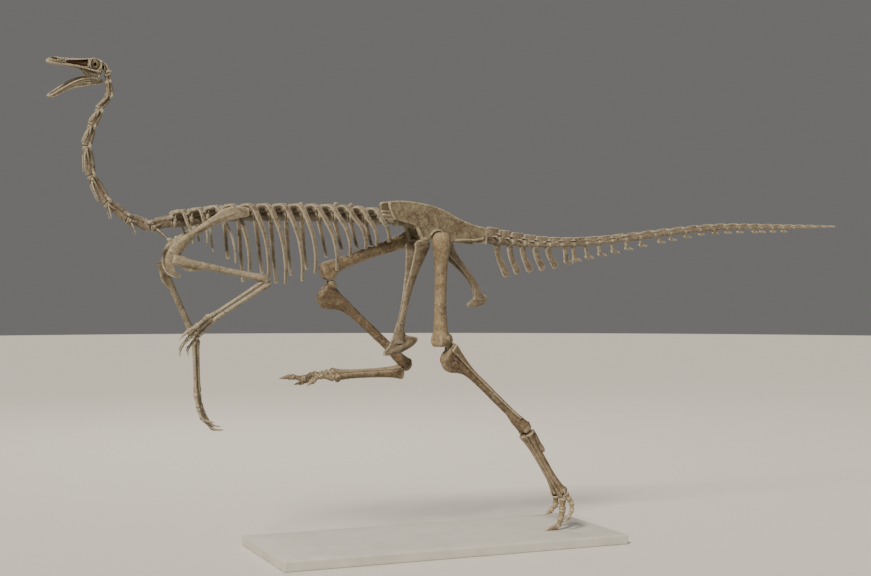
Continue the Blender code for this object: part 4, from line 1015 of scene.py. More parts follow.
def model_skull():
    body = fuse("skull_bones", skull_clays(), 0.0018, 2)
    cutters = [prism(outline, -0.09, 0.09) for outline in (
        oval_outline(ORBIT, (ORBIT_RADIUS, ORBIT_RADIUS)), ANTORBITAL_WINDOW, CHEEK_WINDOW,
        oval_outline((0.040, 0.015), (0.020, 0.006), 16), oval_outline((0.082, 0.005), (0.006, 0.004), 12))]
    upward = axes((1, 0, 0), (0, 0, 1), (0, -1, 0))
    for side in (LEFT, RIGHT):
        cutters.append(prism(oval_outline((0.312, side * -0.017), (0.013, 0.009), 16), 0.016, 0.09, upward))
    cutters.append(lump((0.150, 0, -0.026), (0.110, 0.013, 0.014)))
    body = carve(body, cutters)
    apply(body, "REMESH", mode="VOXEL", voxel_size=0.0015)
    apply(body, "SMOOTH", factor=0.5, iterations=2)
    body.data.transform(head())
    finish(body, pale_bone(), "bone_pale", "skull")

    rows = []
    for back, half, low, high in SKULL_STATIONS[1:-1]:
        share = 0.36 if back > 0.232 else 0.62
        rows.append((back, 0, (low + high) / 2, half * share, (high - low) / 2 * 0.80))
    filling = fuse("skull_stone", [shaft(rows, LENGTHWISE, 20, 3)], 0.0022, 1, 0.002, 0.012)
    filling.data.transform(head())
    finish(filling, stone_filling(), "bone_pale", "skull")


def eye_ring(side, word):
    """Fourteen thin overlapping plates round the pupil."""
    plates = 14
    rings = []
    for radius, out in ((0.0100, 0.0310), (0.0150, 0.0302), (0.0220, 0.0280), (0.0280, 0.0250)):
        half = radians(360 / plates * 0.58)
        rings.append([Vector((radius * cos(turn), radius * sin(turn), out + rise + 0.0012 * turn / half))
                      for turn, rise in ((-half, 0), (0, 0.0004), (half, 0), (half, -0.0014), (0, -0.0012),
                                         (-half, -0.0014))])
    pattern = fuse("plate", [skinned(rings)], 0.0008, 1)
    across = axes((1, 0, 0), (0, 0, 1), (0, side, 0), (ORBIT[0], 0, ORBIT[1]))
    copies = [copied(pattern, head() @ across @ Matrix.Rotation(TAU * index / plates, 4, "Z"))
              for index in range(plates)]
    discard(pattern)
    ring = join(copies, "eye_ring_" + word)
    finish(ring, tan_bone(), "bone_pale", "sclerotic_ring_" + word)


def model_jaw():
    """Two deep slender halves, joined at the beak."""
    clays = []
    for side in (LEFT, RIGHT):
        rows = (
            (0.328, 0.037, -0.080, 0.004, 0.007), (0.312, 0.038, -0.081, 0.006, 0.013),
            (0.288, 0.039, -0.083, 0.007, 0.018), (0.255, 0.038, -0.084, 0.005, 0.021),
            (0.212, 0.035, -0.095, 0.0045, 0.0235), (0.165, 0.031, -0.111, 0.0040, 0.019),
            (0.115, 0.026, -0.139, 0.004, 0.014), (0.070, 0.024, -0.169, 0.005, 0.012),
            (0.044, 0.018, -0.184, 0.006, 0.010), (0.030, 0.008, -0.190, 0.006, 0.008),
        )
        clays.append(blade([(back, side * out, rise) for back, out, rise, *_ in rows], [row[3:] for row in rows],
                           Vector((0, 1, 0)), 14, 5))
        for off, thick in ((0.78, 0.0034), (-0.88, 0.0030)):
            ridge = [(back, side * (out + wide * 0.5), rise + high * off)
                     for back, out, rise, wide, high in rows[2:9]]
            clays.append(blade(ridge, [(thick, thick)] * 7, Vector((0, 1, 0)), 8, 4))
    clays.append(lump((0.034, 0, -0.189), (0.009, 0.014, 0.008)))
    jaw = fuse("jaw_bones", clays, 0.0018, 2)
    slit = oval_outline((0.232, -0.090), (0.020, 0.0045), 16)
    jaw = carve(jaw, [prism(slit, -0.09, 0.09)])
    apply(jaw, "REMESH", mode="VOXEL", voxel_size=0.0015)
    apply(jaw, "SMOOTH", factor=0.5, iterations=2)
    jaw.data.transform(head(JAW_ROLL))
    finish(jaw, pale_bone(), "bone_pale", "lower_jaw")


def model_head():
    model_skull()
    for side, word in SIDES:
        eye_ring(side, word)
    model_jaw()


# ---------------------------------------------------------------- hips

def ilium(side, word):
    """Long low blade with an arched socket, a thick crest and a shelf along its rear."""
    hip_x, hip_height = ACETABULUM
    arch = [(hip_x + 0.043 * cos(radians(20 + 20 * step)), hip_height + 0.043 * sin(radians(20 + 20 * step)))
            for step in range(8)]
    crest = [(-0.290, 1.928), (-0.312, 1.975), (-0.322, 2.022), (-0.312, 2.032), (-0.250, 2.036), (-0.150, 2.030),
             (-0.040, 2.010), (0.040, 1.982), (0.115, 1.942), (0.205, 1.905), (0.262, 1.890), (0.300, 1.882),
             (0.308, 1.850), (0.300, 1.788)]
    lower = [(0.220, 1.797), (0.140, 1.806), (0.090, 1.806), (0.075, 1.786), (0.042, 1.784)]
    front = [(-0.070, 1.800), (-0.130, 1.800), (-0.146, 1.840), (-0.122, 1.880), (-0.200, 1.908)]
    outline = [tuple(row) for row in eased(crest, 4)] + lower + arch + front
    place = axes((1, 0, 0), (0, -0.14 * side, 1), (0, side, 0),
                 at(-0.018 if side == RIGHT else 0.0, side * (0.078 + 0.14 * hip_height), 0))
    clays = [slab(outline, 0.0085, 0.0045, place)]

    def on_blade(u, v, w):
        return place @ Vector((u, v, w))

    across = Vector((0, 1, 0))
    clays.append(blade([on_blade(u, v, 0.001) for u, v in crest], [(0.0115, 0.009)] * len(crest), across, 10, 4))
    clays.append(blade([on_blade(hip_x + 0.050 * cos(radians(a)), hip_height + 0.050 * sin(radians(a)), 0.006)
                        for a in (25, 60, 95, 130, 160)],
                       ((0.010, 0.008), (0.016, 0.009), (0.020, 0.010), (0.018, 0.009), (0.012, 0.008)), across, 10, 4))
    clays.append(blade([on_blade(*row) for row in ((-0.018, 1.880, 0.004), (-0.026, 1.930, 0.004), (-0.040, 1.985, 0.003))],
                       ((0.009, 0.020), (0.009, 0.014), (0.006, 0.012)), across, 10, 4))
    clays.append(blade([on_blade(*row) for row in ((0.085, 1.806, 0.004), (0.150, 1.812, 0.010), (0.225, 1.812, 0.013),
                                                    (0.286, 1.822, 0.008))],
                       ((0.012, 0.009), (0.013, 0.009), (0.013, 0.009), (0.009, 0.009)), across, 10, 4))
    clays.append(blade([on_blade(*row) for row in ((-0.288, 1.936, 0), (-0.240, 1.924, 0), (-0.165, 1.904, 0),
                                                    (-0.138, 1.860, 0), (-0.120, 1.806, 0))],
                       ((0.010, 0.010), (0.009, 0.010), (0.010, 0.012), (0.014, 0.014), (0.018, 0.014)), across, 10, 4))
    clays.append(lump(on_blade(-0.105, 1.812, 0), (0.028, 0.020, 0.016)))
    clays.append(lump(on_blade(0.062, 1.800, 0.004), (0.024, 0.020, 0.018)))
    piece = fuse("hip_blade_" + word, clays, 0.0038, 3, 0.0030, 0.05)
    finish(piece, mottled_bone(), "bone_mottled", "ilium_" + word)


HANGING = axes((0, 1, 0), (1, 0, 0), (0, 0, 1), at(0, 0, 0))


PUBIC_FOOT = (
    (-0.240, 1.345), (-0.262, 1.290), (-0.282, 1.218), (-0.310, 1.164), (-0.345, 1.126), (-0.342, 1.110), (-0.325, 1.105), (-0.271, 1.111),
    (-0.224, 1.124), (-0.184, 1.144), (-0.150, 1.163), (-0.121, 1.192), (-0.117, 1.208), (-0.126, 1.219), (-0.166, 1.224),
    (-0.196, 1.232), (-0.211, 1.256), (-0.214, 1.300), (-0.222, 1.345),
)


def model_hips():
    for side, word in SIDES:
        ilium(side, word)
    across = Vector((0, 1, 0))
    clays = []
    for side in (LEFT, RIGHT):
        clays.append(shaft([(h, side * out, x, wide, deep) for x, out, h, wide, deep in (
            (-0.112, 0.079, 1.8085, 0.012, 0.034), (-0.116, 0.078, 1.7985, 0.016, 0.046),
            (-0.122, 0.076, 1.775, 0.014, 0.050),
            (-0.126, 0.073, 1.745, 0.011, 0.042), (-0.150, 0.048, 1.640, 0.010, 0.032),
            (-0.184, 0.018, 1.505, 0.012, 0.024), (-0.216, 0.010, 1.360, 0.012, 0.020),
            (-0.240, 0.009, 1.240, 0.012, 0.028), (-0.240, 0.009, 1.180, 0.012, 0.036))], HANGING, 18, 4))
        clays.append(blade([at(x, side * out, h) for x, out, h in (
            (-0.080, 0.076, 1.776), (-0.106, 0.062, 1.700), (-0.140, 0.040, 1.610))],
            ((0.006, 0.016), (0.004, 0.014), (0.004, 0.008)), across, 10, 4))
    clays.append(blade([at(-0.192, 0, 1.480), at(-0.226, 0, 1.300), at(-0.238, 0, 1.180)],
                       ((0.010, 0.006), (0.010, 0.007), (0.010, 0.010)), across, 10, 4))
    clays.append(slab(PUBIC_FOOT, 0.0100, 0.0055, axes((1, 0, 0), (0, 0, 1), (0, -1, 0), at(0, 0, 0))))
    clays.append(blade([at(x, 0, h) for x, h in ((-0.334, 1.119), (-0.262, 1.140), (-0.190, 1.172), (-0.130, 1.202))],
                       ((0.010, 0.010), (0.018, 0.020), (0.019, 0.024), (0.009, 0.011)), across, 16, 5))
    finish(fuse("pubic_bones", clays, 0.0038, 3, 0.0020, 0.04), tan_bone(), "bone_tan", "pubis")

    clays = []
    for side in (LEFT, RIGHT):
        clays.append(shaft([(h, side * out, x, wide, deep) for x, out, h, wide, deep in (
            (0.056, 0.079, 1.7950, 0.011, 0.020), (0.058, 0.078, 1.7815, 0.015, 0.030),
            (0.066, 0.075, 1.755, 0.012, 0.034),
            (0.096, 0.063, 1.717, 0.010, 0.033), (0.124, 0.052, 1.690, 0.010, 0.030),
            (0.196, 0.028, 1.620, 0.011, 0.025), (0.256, 0.013, 1.545, 0.012, 0.024),
            (0.284, 0.010, 1.480, 0.012, 0.028), (0.288, 0.009, 1.440, 0.011, 0.040))], HANGING, 18, 4))
    clays.append(blade([at(x, 0, h) for x, h in ((0.212, 1.408), (0.244, 1.418), (0.300, 1.438), (0.334, 1.454), (0.347, 1.462))],
                       ((0.008, 0.010), (0.014, 0.024), (0.015, 0.034), (0.010, 0.024), (0.005, 0.010)),
                       across, 16, 5))
    finish(fuse("ischial_bones", clays, 0.0032, 3, 0.0020, 0.04), tan_bone(), "bone_tan", "ischium")


# ---------------------------------------------------------------- fingers and toes

def phalanx_pattern():
    """Toe or finger bone, 60 mm long and 17 mm in radius at its near end, with a pulley at the far end."""
    clays = [shaft(((0.000, 0, 0, 0.0150, 0.0160), (0.005, 0, 0, 0.0175, 0.0178), (0.016, 0, 0, 0.0140, 0.0140),
                    (0.034, 0, 0.001, 0.0118, 0.0115), (0.048, 0, 0.001, 0.0130, 0.0122),
                    (0.055, 0, 0.001, 0.0130, 0.0120)), sides=16, steps=3)]
    for out in (-0.0080, 0.0080):
        clays.append(lump((out, 0.0005, 0.0505), (0.0070, 0.0150, 0.0098)))
    return fuse("phalanx", clays, 0.0024, 2)


def claw_pattern(curved):
    """Claw bone, 70 mm long: a jointed base, a knob beneath it and a tapering, bending point."""
    bow = 0.010 if curved else 0.004
    clays = [shaft(((0.000, 0, 0, 0.0130, 0.0165), (0.005, 0, 0, 0.0150, 0.0178), (0.016, 0, 0.002, 0.0125, 0.0145),
                    (0.034, 0, bow * 0.55, 0.0100, 0.0110), (0.052, 0, bow * 0.35, 0.0068, 0.0074),
                    (0.069, 0, -bow * 0.6, 0.0018, 0.0020)), sides=14, steps=4),
             lump((0, -0.0125, 0.0090), (0.0085, 0.0066, 0.0090))]
    return fuse("claw", clays, 0.0018, 1)


def digit(points, thickness, bones, claw, front, outward):
    """Copies of the finger or toe bone between joints, and a claw at the end."""
    made = []
    last = len(points) - 2
    for index, (start, end) in enumerate(zip(points, points[1:])):
        radius = thickness * (1 - 0.10 * index)
        pattern, span = (claw, 0.0695) if index == last else (bones, 0.0585)
        place = along_bone(start, end, front, outward)
        scale = Matrix.Diagonal((radius / 0.0165, radius / 0.0165, ((end - start).length - 0.0008) / span, 1))
        made.append(copied(pattern, place @ scale))
    return made


def split(points, share=0.5):
    """Joint points with the first bone divided in two."""
    return [points[0], points[0].lerp(points[1], share)] + list(points[1:])


# ---------------------------------------------------------------- legs

def limb_shaft(place, span, stations, sides=20):
    """The length of a limb bone, from stations whose reach is a share of its length."""
    return shaft([(reach * span, *rest) for reach, *rest in stations], place, sides, 4)


def model_femur(side, word, hip, knee, front):
    span = (knee - hip).length
    place = along_bone(hip, knee, front, Vector((0, side, 0)))
    socket = at(mix(hip.x, ACETABULUM[0], 0.7), hip.y - side * 0.050, ACETABULUM[1] + 0.002)
    clays = [limb_shaft(place, span, (
        (-0.058, 0.004, 0.002, 0.024, 0.026), (-0.046, 0.004, 0.002, 0.040, 0.044), (-0.020, 0.003, 0.002, 0.051, 0.056),
        (0.010, 0.002, 0.002, 0.055, 0.060),
        (0.075, 0.001, 0.002, 0.054, 0.058), (0.130, 0.000, 0.002, 0.048, 0.051), (0.220, 0.000, 0.003, 0.042, 0.044),
        (0.350, 0.000, 0.006, 0.037, 0.039), (0.550, 0.000, 0.008, 0.037, 0.037), (0.720, 0.000, 0.007, 0.039, 0.038),
        (0.840, 0.000, 0.004, 0.047, 0.043), (0.915, 0.000, 0.003, 0.055, 0.049), (0.955, 0.000, 0.003, 0.057, 0.049),
        (0.990, 0.000, 0.002, 0.049, 0.040)))]
    down = (knee - hip).normalized()
    inward = (socket - hip).normalized()
    clays.append(lump((0, 0, 0), (0.033, 0.033, 0.028),
                      axes(down.cross(inward).normalized(), (down - inward * down.dot(inward)).normalized(),
                           inward, socket)))
    clays.append(blade((hip + down * 0.028, hip.lerp(socket, 0.5) + down * 0.014, socket),
                       ((0.030, 0.030), (0.025, 0.025), (0.024, 0.024)), down, 14, 3))
    clays.append(lump((0.014, 0.036, 0.040), (0.015, 0.014, 0.044), place))
    clays.append(lump((-0.016, -0.024, 0.300 * span), (0.008, 0.016, 0.052), place))
    clays.append(blade([place @ Vector(row) for row in ((0.006, -0.024, 0.36 * span), (0.010, -0.026, 0.55 * span),
                                                        (0.014, -0.030, 0.78 * span))],
                       [(0.006, 0.006)] * 3, Vector((1, 0, 0)), 8, 4))
    for out, deep in ((-0.033, 0.036), (0.033, 0.038)):
        clays.append(lump((out, -0.029, 0.928 * span), (0.023, deep, 0.042), place))
        clays.append(lump((out * 0.85, 0.032, 0.930 * span), (0.019, 0.019, 0.038), place))
    clays.append(lump((0.051, -0.008, 0.918 * span), (0.012, 0.018, 0.024), place))
    piece = fuse("thigh_bone_" + word, clays, sizes().grain, 3, 0.0034, 0.035)
    finish(piece, ochre_bone(), "bone_ochre", "femur_" + word)


def model_tibia(word, knee, ankle, front):
    span = (ankle - knee).length
    place = along_bone(knee, ankle, front)
    clays = [limb_shaft(place, span, (
        (0.012, 0.000, 0.020, 0.036, 0.048), (0.028, 0.000, 0.028, 0.044, 0.064), (0.060, 0.000, 0.030, 0.043, 0.068),
        (0.120, 0.000, 0.026, 0.036, 0.060), (0.200, 0.000, 0.012, 0.031, 0.045), (0.300, 0.000, 0.003, 0.029, 0.033),
        (0.420, 0.000, 0.000, 0.028, 0.029), (0.620, 0.000, 0.000, 0.028, 0.028), (0.800, 0.000, 0.000, 0.031, 0.028),
        (0.890, 0.000, 0.001, 0.039, 0.032), (0.950, 0.000, 0.003, 0.044, 0.038), (0.992, 0.000, 0.003, 0.038, 0.031)))]
    clays.append(blade([place @ Vector((0, y, share * span)) for y, share in (
        (0.058, 0.020), (0.080, 0.052), (0.088, 0.090), (0.078, 0.130), (0.054, 0.180), (0.036, 0.240), (0.026, 0.300))],
        ((0.020, 0.012), (0.022, 0.022), (0.022, 0.028), (0.020, 0.028), (0.017, 0.022), (0.012, 0.014),
         (0.008, 0.010)), place.col[0].to_3d(), 12, 4))
    for out, back in ((-0.026, -0.030), (0.028, -0.026)):
        clays.append(lump((out, back, 0.044 * span), (0.022, 0.026, 0.030), place))
    for out in (-0.025, 0.025):
        clays.append(lump((out, 0.010, 0.980 * span), (0.021, 0.036, 0.022), place))
    clays.append(lump((0.0, -0.030, 0.968 * span), (0.030, 0.012, 0.016), place))
    clays.append(blade([place @ Vector((x, y, share * span)) for x, y, share in (
        (0.006, 0.030, 0.955), (0.008, 0.031, 0.900), (0.012, 0.029, 0.850), (0.014, 0.026, 0.800))],
        ((0.032, 0.006), (0.024, 0.005), (0.016, 0.004), (0.005, 0.003)), place.col[0].to_3d(), 12, 4))
    piece = fuse("shin_bone_" + word, clays, sizes().grain, 3, 0.0032, 0.035)
    finish(piece, shin_bone(), "bone_ochre", "tibia_" + word)


def model_fibula(side, word, knee, ankle, front):
    place = along_bone(knee, ankle, front, Vector((0, side, 0)))
    span = (ankle - knee).length
    clays = [limb_shaft(place, span, (
        (0.026, 0.056, -0.010, 0.008, 0.026), (0.036, 0.056, -0.010, 0.010, 0.031), (0.110, 0.049, -0.006, 0.008, 0.022),
        (0.240, 0.040, 0.000, 0.006, 0.013), (0.300, 0.038, 0.002, 0.007, 0.012), (0.480, 0.0345, 0.004, 0.005, 0.008),
        (0.720, 0.036, 0.004, 0.0045, 0.007), (0.870, 0.046, 0.004, 0.005, 0.008)), 14)]
    piece = fuse("calf_bone_" + word, clays, 0.0026, 2, 0.0012, 0.03)
    finish(piece, shin_bone(), "bone_ochre", "fibula_" + word)


METATARSALS = ((-1, 0.930, 0.92), (0, 1.0, 1.0), (1, 0.955, 0.92))


def model_metatarsus(side, word, instep, toe_joint, front):
    """Three long foot bones with flat heads, pulleys at their ends and a splint behind."""
    place = along_bone(instep, toe_joint, front, Vector((0, side, 0)))
    span = (toe_joint - instep).length
    bones = []
    for out, share, bulk in METATARSALS:
        rows = []
        for reach, apart, wide, deep in (
                (0.006, 0.026, 0.020, 0.032), (0.022, 0.027, 0.0240, 0.039), (0.100, 0.0230, 0.0205, 0.032),
                (0.260, 0.0185, 0.0165, 0.026), (0.520, 0.0170, 0.0150, 0.023), (0.740, 0.0190, 0.0155, 0.022),
                (0.880, 0.0270, 0.0175, 0.0225), (0.945, 0.0330, 0.0195, 0.0245), (0.988, 0.0340, 0.0150, 0.0190)):
            pinch = 0.70 if out == 0 and reach < 0.5 else 1.0
            rows.append((reach * share, out * apart, 0.004 if out == 0 and reach > 0.5 else 0.0,
                         wide * bulk * pinch, deep * bulk))
        clays = [limb_shaft(place, span, rows, 18)]
        for off in (-0.009, 0.009):
            clays.append(lump((out * 0.034 + off, -0.002, span * share * 0.955), (0.0095, 0.0275, 0.0210), place))
        bones.append(fuse("metatarsal", clays, 0.0032, 2, 0.0024, 0.03))
    splint = blade([place @ Vector(row) for row in ((0.032, -0.014, 0.010), (0.034, -0.016, 0.050), (0.033, -0.016, 0.100),
                                                    (0.036, -0.016, 0.135), (0.037, -0.016, 0.158))],
                   ((0.018, 0.022), (0.016, 0.020), (0.014, 0.018), (0.015, 0.017), (0.008, 0.009)),
                   place.col[0].to_3d(), 12, 4)
    caps = [lump((0.026, 0.000, 0.004), (0.031, 0.040, 0.013), place),
            lump((-0.024, 0.000, 0.004), (0.029, 0.038, 0.013), place)]
    bones.append(fuse("tarsals", [splint] + caps, 0.0030, 2, 0.0012, 0.03))
    finish(join(bones, "foot_bones_" + word), shin_bone(), "bone_ochre", "metatarsus_" + word)
    return place


def leg(side, word, joints, fronts, toes):
    hip, knee, shin, ankle, instep, toe_joint = joints
    model_femur(side, word, hip, knee, fronts[0])
    model_tibia(word, shin, ankle, fronts[1])
    model_fibula(side, word, shin, ankle, fronts[1])
    place = model_metatarsus(side, word, instep, toe_joint, fronts[2])
    bones, claw = phalanx_pattern(), claw_pattern(False)
    for number, front, points in toes:
        share = METATARSALS[number - 2][1]
        root = place @ Vector((0.034 * (number - 3), 0, sizes().metatarsus * share + 0.006))
        points = [root] + points
        if number == 4:
            points = split(points)
        thickness = 0.0245 if number == 3 else 0.0215
        made = digit(points, thickness, bones, claw, front, Vector((0, side, 0)))
        finish(join(made, "toe_bones_%d_%s" % (number, word)), ochre_bone(), "bone_ochre",
               "toe_%d_%s" % (number, word))
    discard(bones, claw)


def model_legs():
    hip = at(-0.019, LEFT * sizes().hip, 1.815)
    knee = hip + toward(0.5) * sizes().femur
    shin = knee + Vector((0.034, 0, -0.004))
    ankle = shin + toward(-47.0) * sizes().tibia
    instep = ankle + Vector((-0.004, 0, -0.026))
    toe_joint = instep + toward(-31.5) * sizes().metatarsus
    y = toe_joint.y
    fore = Vector((-1, 0, 0.15))
    toes = (
        (2, fore, [at(0.786, y + 0.046, 0.154), at(0.752, y + 0.050, 0.118), at(0.708, y + 0.052, 0.088)]),
        (3, fore, [at(0.806, y, 0.124), at(0.796, y, 0.066), at(0.774, y, 0.0205), at(0.676, y, 0.004)]),
        (4, fore, [at(0.850, y - 0.042, 0.170), at(0.848, y - 0.046, 0.126), at(0.826, y - 0.050, 0.088),
                   at(0.786, y - 0.052, 0.052)]),
    )
    leg(LEFT, "left", (hip, knee, shin, ankle, instep, toe_joint),
        (Vector((-0.87, -0.50, 0)), Vector((-1, -0.25, 0)), Vector((-0.80, -0.60, 0))), toes)

    hip = at(-0.074, RIGHT * sizes().hip, 1.838)
    knee = hip + toward(70) * sizes().femur
    shin = knee + Vector((0.022, 0, -0.075))
    ankle = shin + toward(-47.5) * sizes().tibia
    instep = ankle + Vector((-0.052, 0, -0.030))
    toe_joint = instep + toward(88.8) * sizes().metatarsus
    y = toe_joint.y
    up = Vector((0, -0.4, 0.9))
    toes = (
        (2, up, [at(-0.722, y - 0.044, 0.990), at(-0.756, y - 0.046, 0.960), at(-0.800, y - 0.046, 0.930)]),
        (3, up, [at(-0.745, y, 0.994), at(-0.808, y, 0.972), at(-0.880, y, 0.985), at(-0.957, y, 0.976)]),
        (4, up, [at(-0.715, y + 0.044, 0.984), at(-0.758, y + 0.046, 0.956), at(-0.800, y + 0.048, 0.944),
                 at(-0.850, y + 0.048, 0.934)]),
    )
    leg(RIGHT, "right", (hip, knee, shin, ankle, instep, toe_joint),
        (Vector((-1, 0, 0.5)), Vector((-1, 0, 0)), Vector((0, -0.5, 0.87))), toes)


# ---------------------------------------------------------------- arms

def model_scapula(side, word):
    """Long blade of the shoulder, its socket, and the curved coracoid below it."""
    back = 0.026 if side == RIGHT else 0.0
    across = Vector((0, 1, 0))

    def spots(rows):
        return [at(x + back, side * out, height) for x, out, height in rows]

    clays = [
        blade(spots(((-1.221, 0.168, 1.950), (-1.280, 0.165, 1.946), (-1.352, 0.161, 1.932), (-1.424, 0.159, 1.892),
                     (-1.485, 0.156, 1.856), (-1.560, 0.158, 1.806), (-1.618, 0.156, 1.752), (-1.652, 0.150, 1.706))),
              ((0.006, 0.024), (0.008, 0.034), (0.009, 0.036), (0.0105, 0.027), (0.012, 0.022), (0.013, 0.024),
               (0.015, 0.036), (0.013, 0.032)), across, 18, 6),
        blade(spots(((-1.300, 0.170, 1.944), (-1.424, 0.166, 1.896), (-1.540, 0.166, 1.826), (-1.612, 0.164, 1.776))),
              ((0.004, 0.006), (0.006, 0.010), (0.007, 0.012), (0.008, 0.014)), across, 10, 5),
        blade(spots(((-1.652, 0.142, 1.745), (-1.664, 0.130, 1.690), (-1.664, 0.118, 1.640), (-1.640, 0.112, 1.600),
                     (-1.602, 0.108, 1.578))),
              ((0.018, 0.014), (0.028, 0.013), (0.025, 0.011), (0.019, 0.009), (0.007, 0.005)),
              Vector((1, side * 0.8, 0.2)), 18, 6),
        lump(spots(((-1.636, 0.150, 1.706),))[0], (0.024, 0.018, 0.026)),
        blade(spots(((-1.590, 0.158, 1.772), (-1.622, 0.158, 1.790), (-1.646, 0.156, 1.802))),
              ((0.009, 0.020), (0.009, 0.016), (0.006, 0.008)), across, 12, 4),
    ]
    piece = fuse("shoulder_blade_" + word, clays, 0.0030, 3, 0.0026, 0.035)
    finish(piece, pale_bone(), "bone_pale", "scapula_" + word)


def model_upper_arm(word, shoulder, elbow, front):
    span = (elbow - shoulder).length
    place = along_bone(shoulder, elbow, front)
    clays = [limb_shaft(place, span, (
        (-0.070, 0, 0, 0.014, 0.016), (-0.060, 0, 0, 0.022, 0.026), (-0.020, 0, 0, 0.024, 0.031),
        (0.040, 0, 0, 0.026, 0.029), (0.110, 0, 0.002, 0.024, 0.0245), (0.200, 0, 0.002, 0.0215, 0.0225),
        (0.320, 0, 0, 0.0190, 0.0200), (0.550, 0, 0, 0.0175, 0.0185), (0.780, 0, 0, 0.0200, 0.0195),
        (0.900, 0, 0, 0.0270, 0.0230), (0.955, 0, 0, 0.0300, 0.0245), (0.995, 0, 0, 0.0240, 0.0190)), 18)]
    clays.append(blade([place @ Vector((0.004, y, share * span)) for y, share in (
        (0.014, 0.000), (0.024, 0.060), (0.031, 0.120), (0.027, 0.180), (0.016, 0.250), (0.008, 0.320))],
        ((0.014, 0.010), (0.013, 0.016), (0.012, 0.017), (0.011, 0.015), (0.010, 0.011), (0.008, 0.006)),
        place.col[0].to_3d(), 12, 4))
    for out in (-0.015, 0.015):
        clays.append(lump((out, 0.004, 0.972 * span), (0.0135, 0.0230, 0.0180), place))
    piece = fuse("upper_arm_" + word, clays, 0.0030, 4, 0.0020, 0.03)
    finish(piece, pale_bone(), "bone_pale", "humerus_" + word)


def model_forearm(word, crook, wrist, across):
    """Ulna with its elbow point, and the thinner radius in front of it."""
    span = (wrist - crook).length
    place = along_bone(crook, wrist, across)
    ulna = [limb_shaft(place, span, (
        (-0.066, 0, 0.013, 0.008, 0.008), (-0.048, 0, 0.013, 0.015, 0.015), (-0.010, 0, 0.013, 0.019, 0.019),
        (0.030, 0, 0.013, 0.020, 0.018), (0.080, 0, 0.013, 0.018, 0.0165), (0.180, 0, 0.013, 0.0155, 0.0145),
        (0.500, 0, 0.0130, 0.0135, 0.0130), (0.820, 0, 0.0130, 0.0140, 0.0130), (0.930, 0, 0.014, 0.0175, 0.0155),
        (0.992, 0, 0.014, 0.0150, 0.0125)), 16),
        lump((0.000, 0.004, 0.004 * span), (0.016, 0.018, 0.020), place)]
    radius = [limb_shaft(place, span, (
        (0.008, 0, -0.015, 0.010, 0.010), (0.028, 0, -0.016, 0.015, 0.014), (0.100, 0, -0.0155, 0.0120, 0.0115),
        (0.500, 0, -0.0135, 0.0108, 0.0100), (0.860, 0, -0.0130, 0.0115, 0.0108), (0.940, 0, -0.0135, 0.0150, 0.0135),
        (0.992, 0, -0.0135, 0.0130, 0.0115)), 16)]
    for name, node, clays in (("ulna_shaft_", "ulna_", ulna), ("radius_shaft_", "radius_", radius)):
        finish(fuse(name + word, clays, 0.0024, 2, 0.0018, 0.03), pale_bone(), "bone_pale", node + word)


def model_hand(side, word, roots, ends, fingers):
    front = (roots[0] - roots[2]).normalized()
    outward = Vector((0, side, 0))
    bone = phalanx_pattern()
    made = []
    for root, end in zip(roots, ends):
        root = root + (root - end) * 0.10
        place = along_bone(root, end, front, outward)
        made.append(copied(bone, place @ Matrix.Diagonal((0.84, 0.84, (end - root).length / 0.0575, 1))))
    wrist = roots[1] + (roots[1] - ends[1]) * 0.16
    for share in (-0.75, 0.0, 0.75):
        centre = wrist + (roots[2] - roots[1] if share > 0 else roots[0] - roots[1]) * abs(share)
        made.append(fuse("carpal", [lump(centre, (0.015, 0.014, 0.012))], 0.0018, 1, 0.0016, 0.01))
    finish(join(made, "palm_bones_" + word), pale_bone(), "bone_pale", "palm_" + word)
    claw = claw_pattern(True)
    for number, points in enumerate(fingers, 1):
        if number == 3:
            points = split(points, 0.45)
        bones = digit(points, 0.0128, bone, claw, front, outward)
        finish(join(bones, "finger_bones_%d_%s" % (number, word)), pale_bone(), "bone_pale",
               "finger_%d_%s" % (number, word))
    discard(bone, claw)


def arm(side, word, joints, fronts, roots, ends, fingers):
    shoulder, elbow, crook, wrist = joints
    model_scapula(side, word)
    model_upper_arm(word, shoulder, elbow, fronts[0])
    model_forearm(word, crook, wrist, fronts[1])
    model_hand(side, word, roots, ends, fingers)


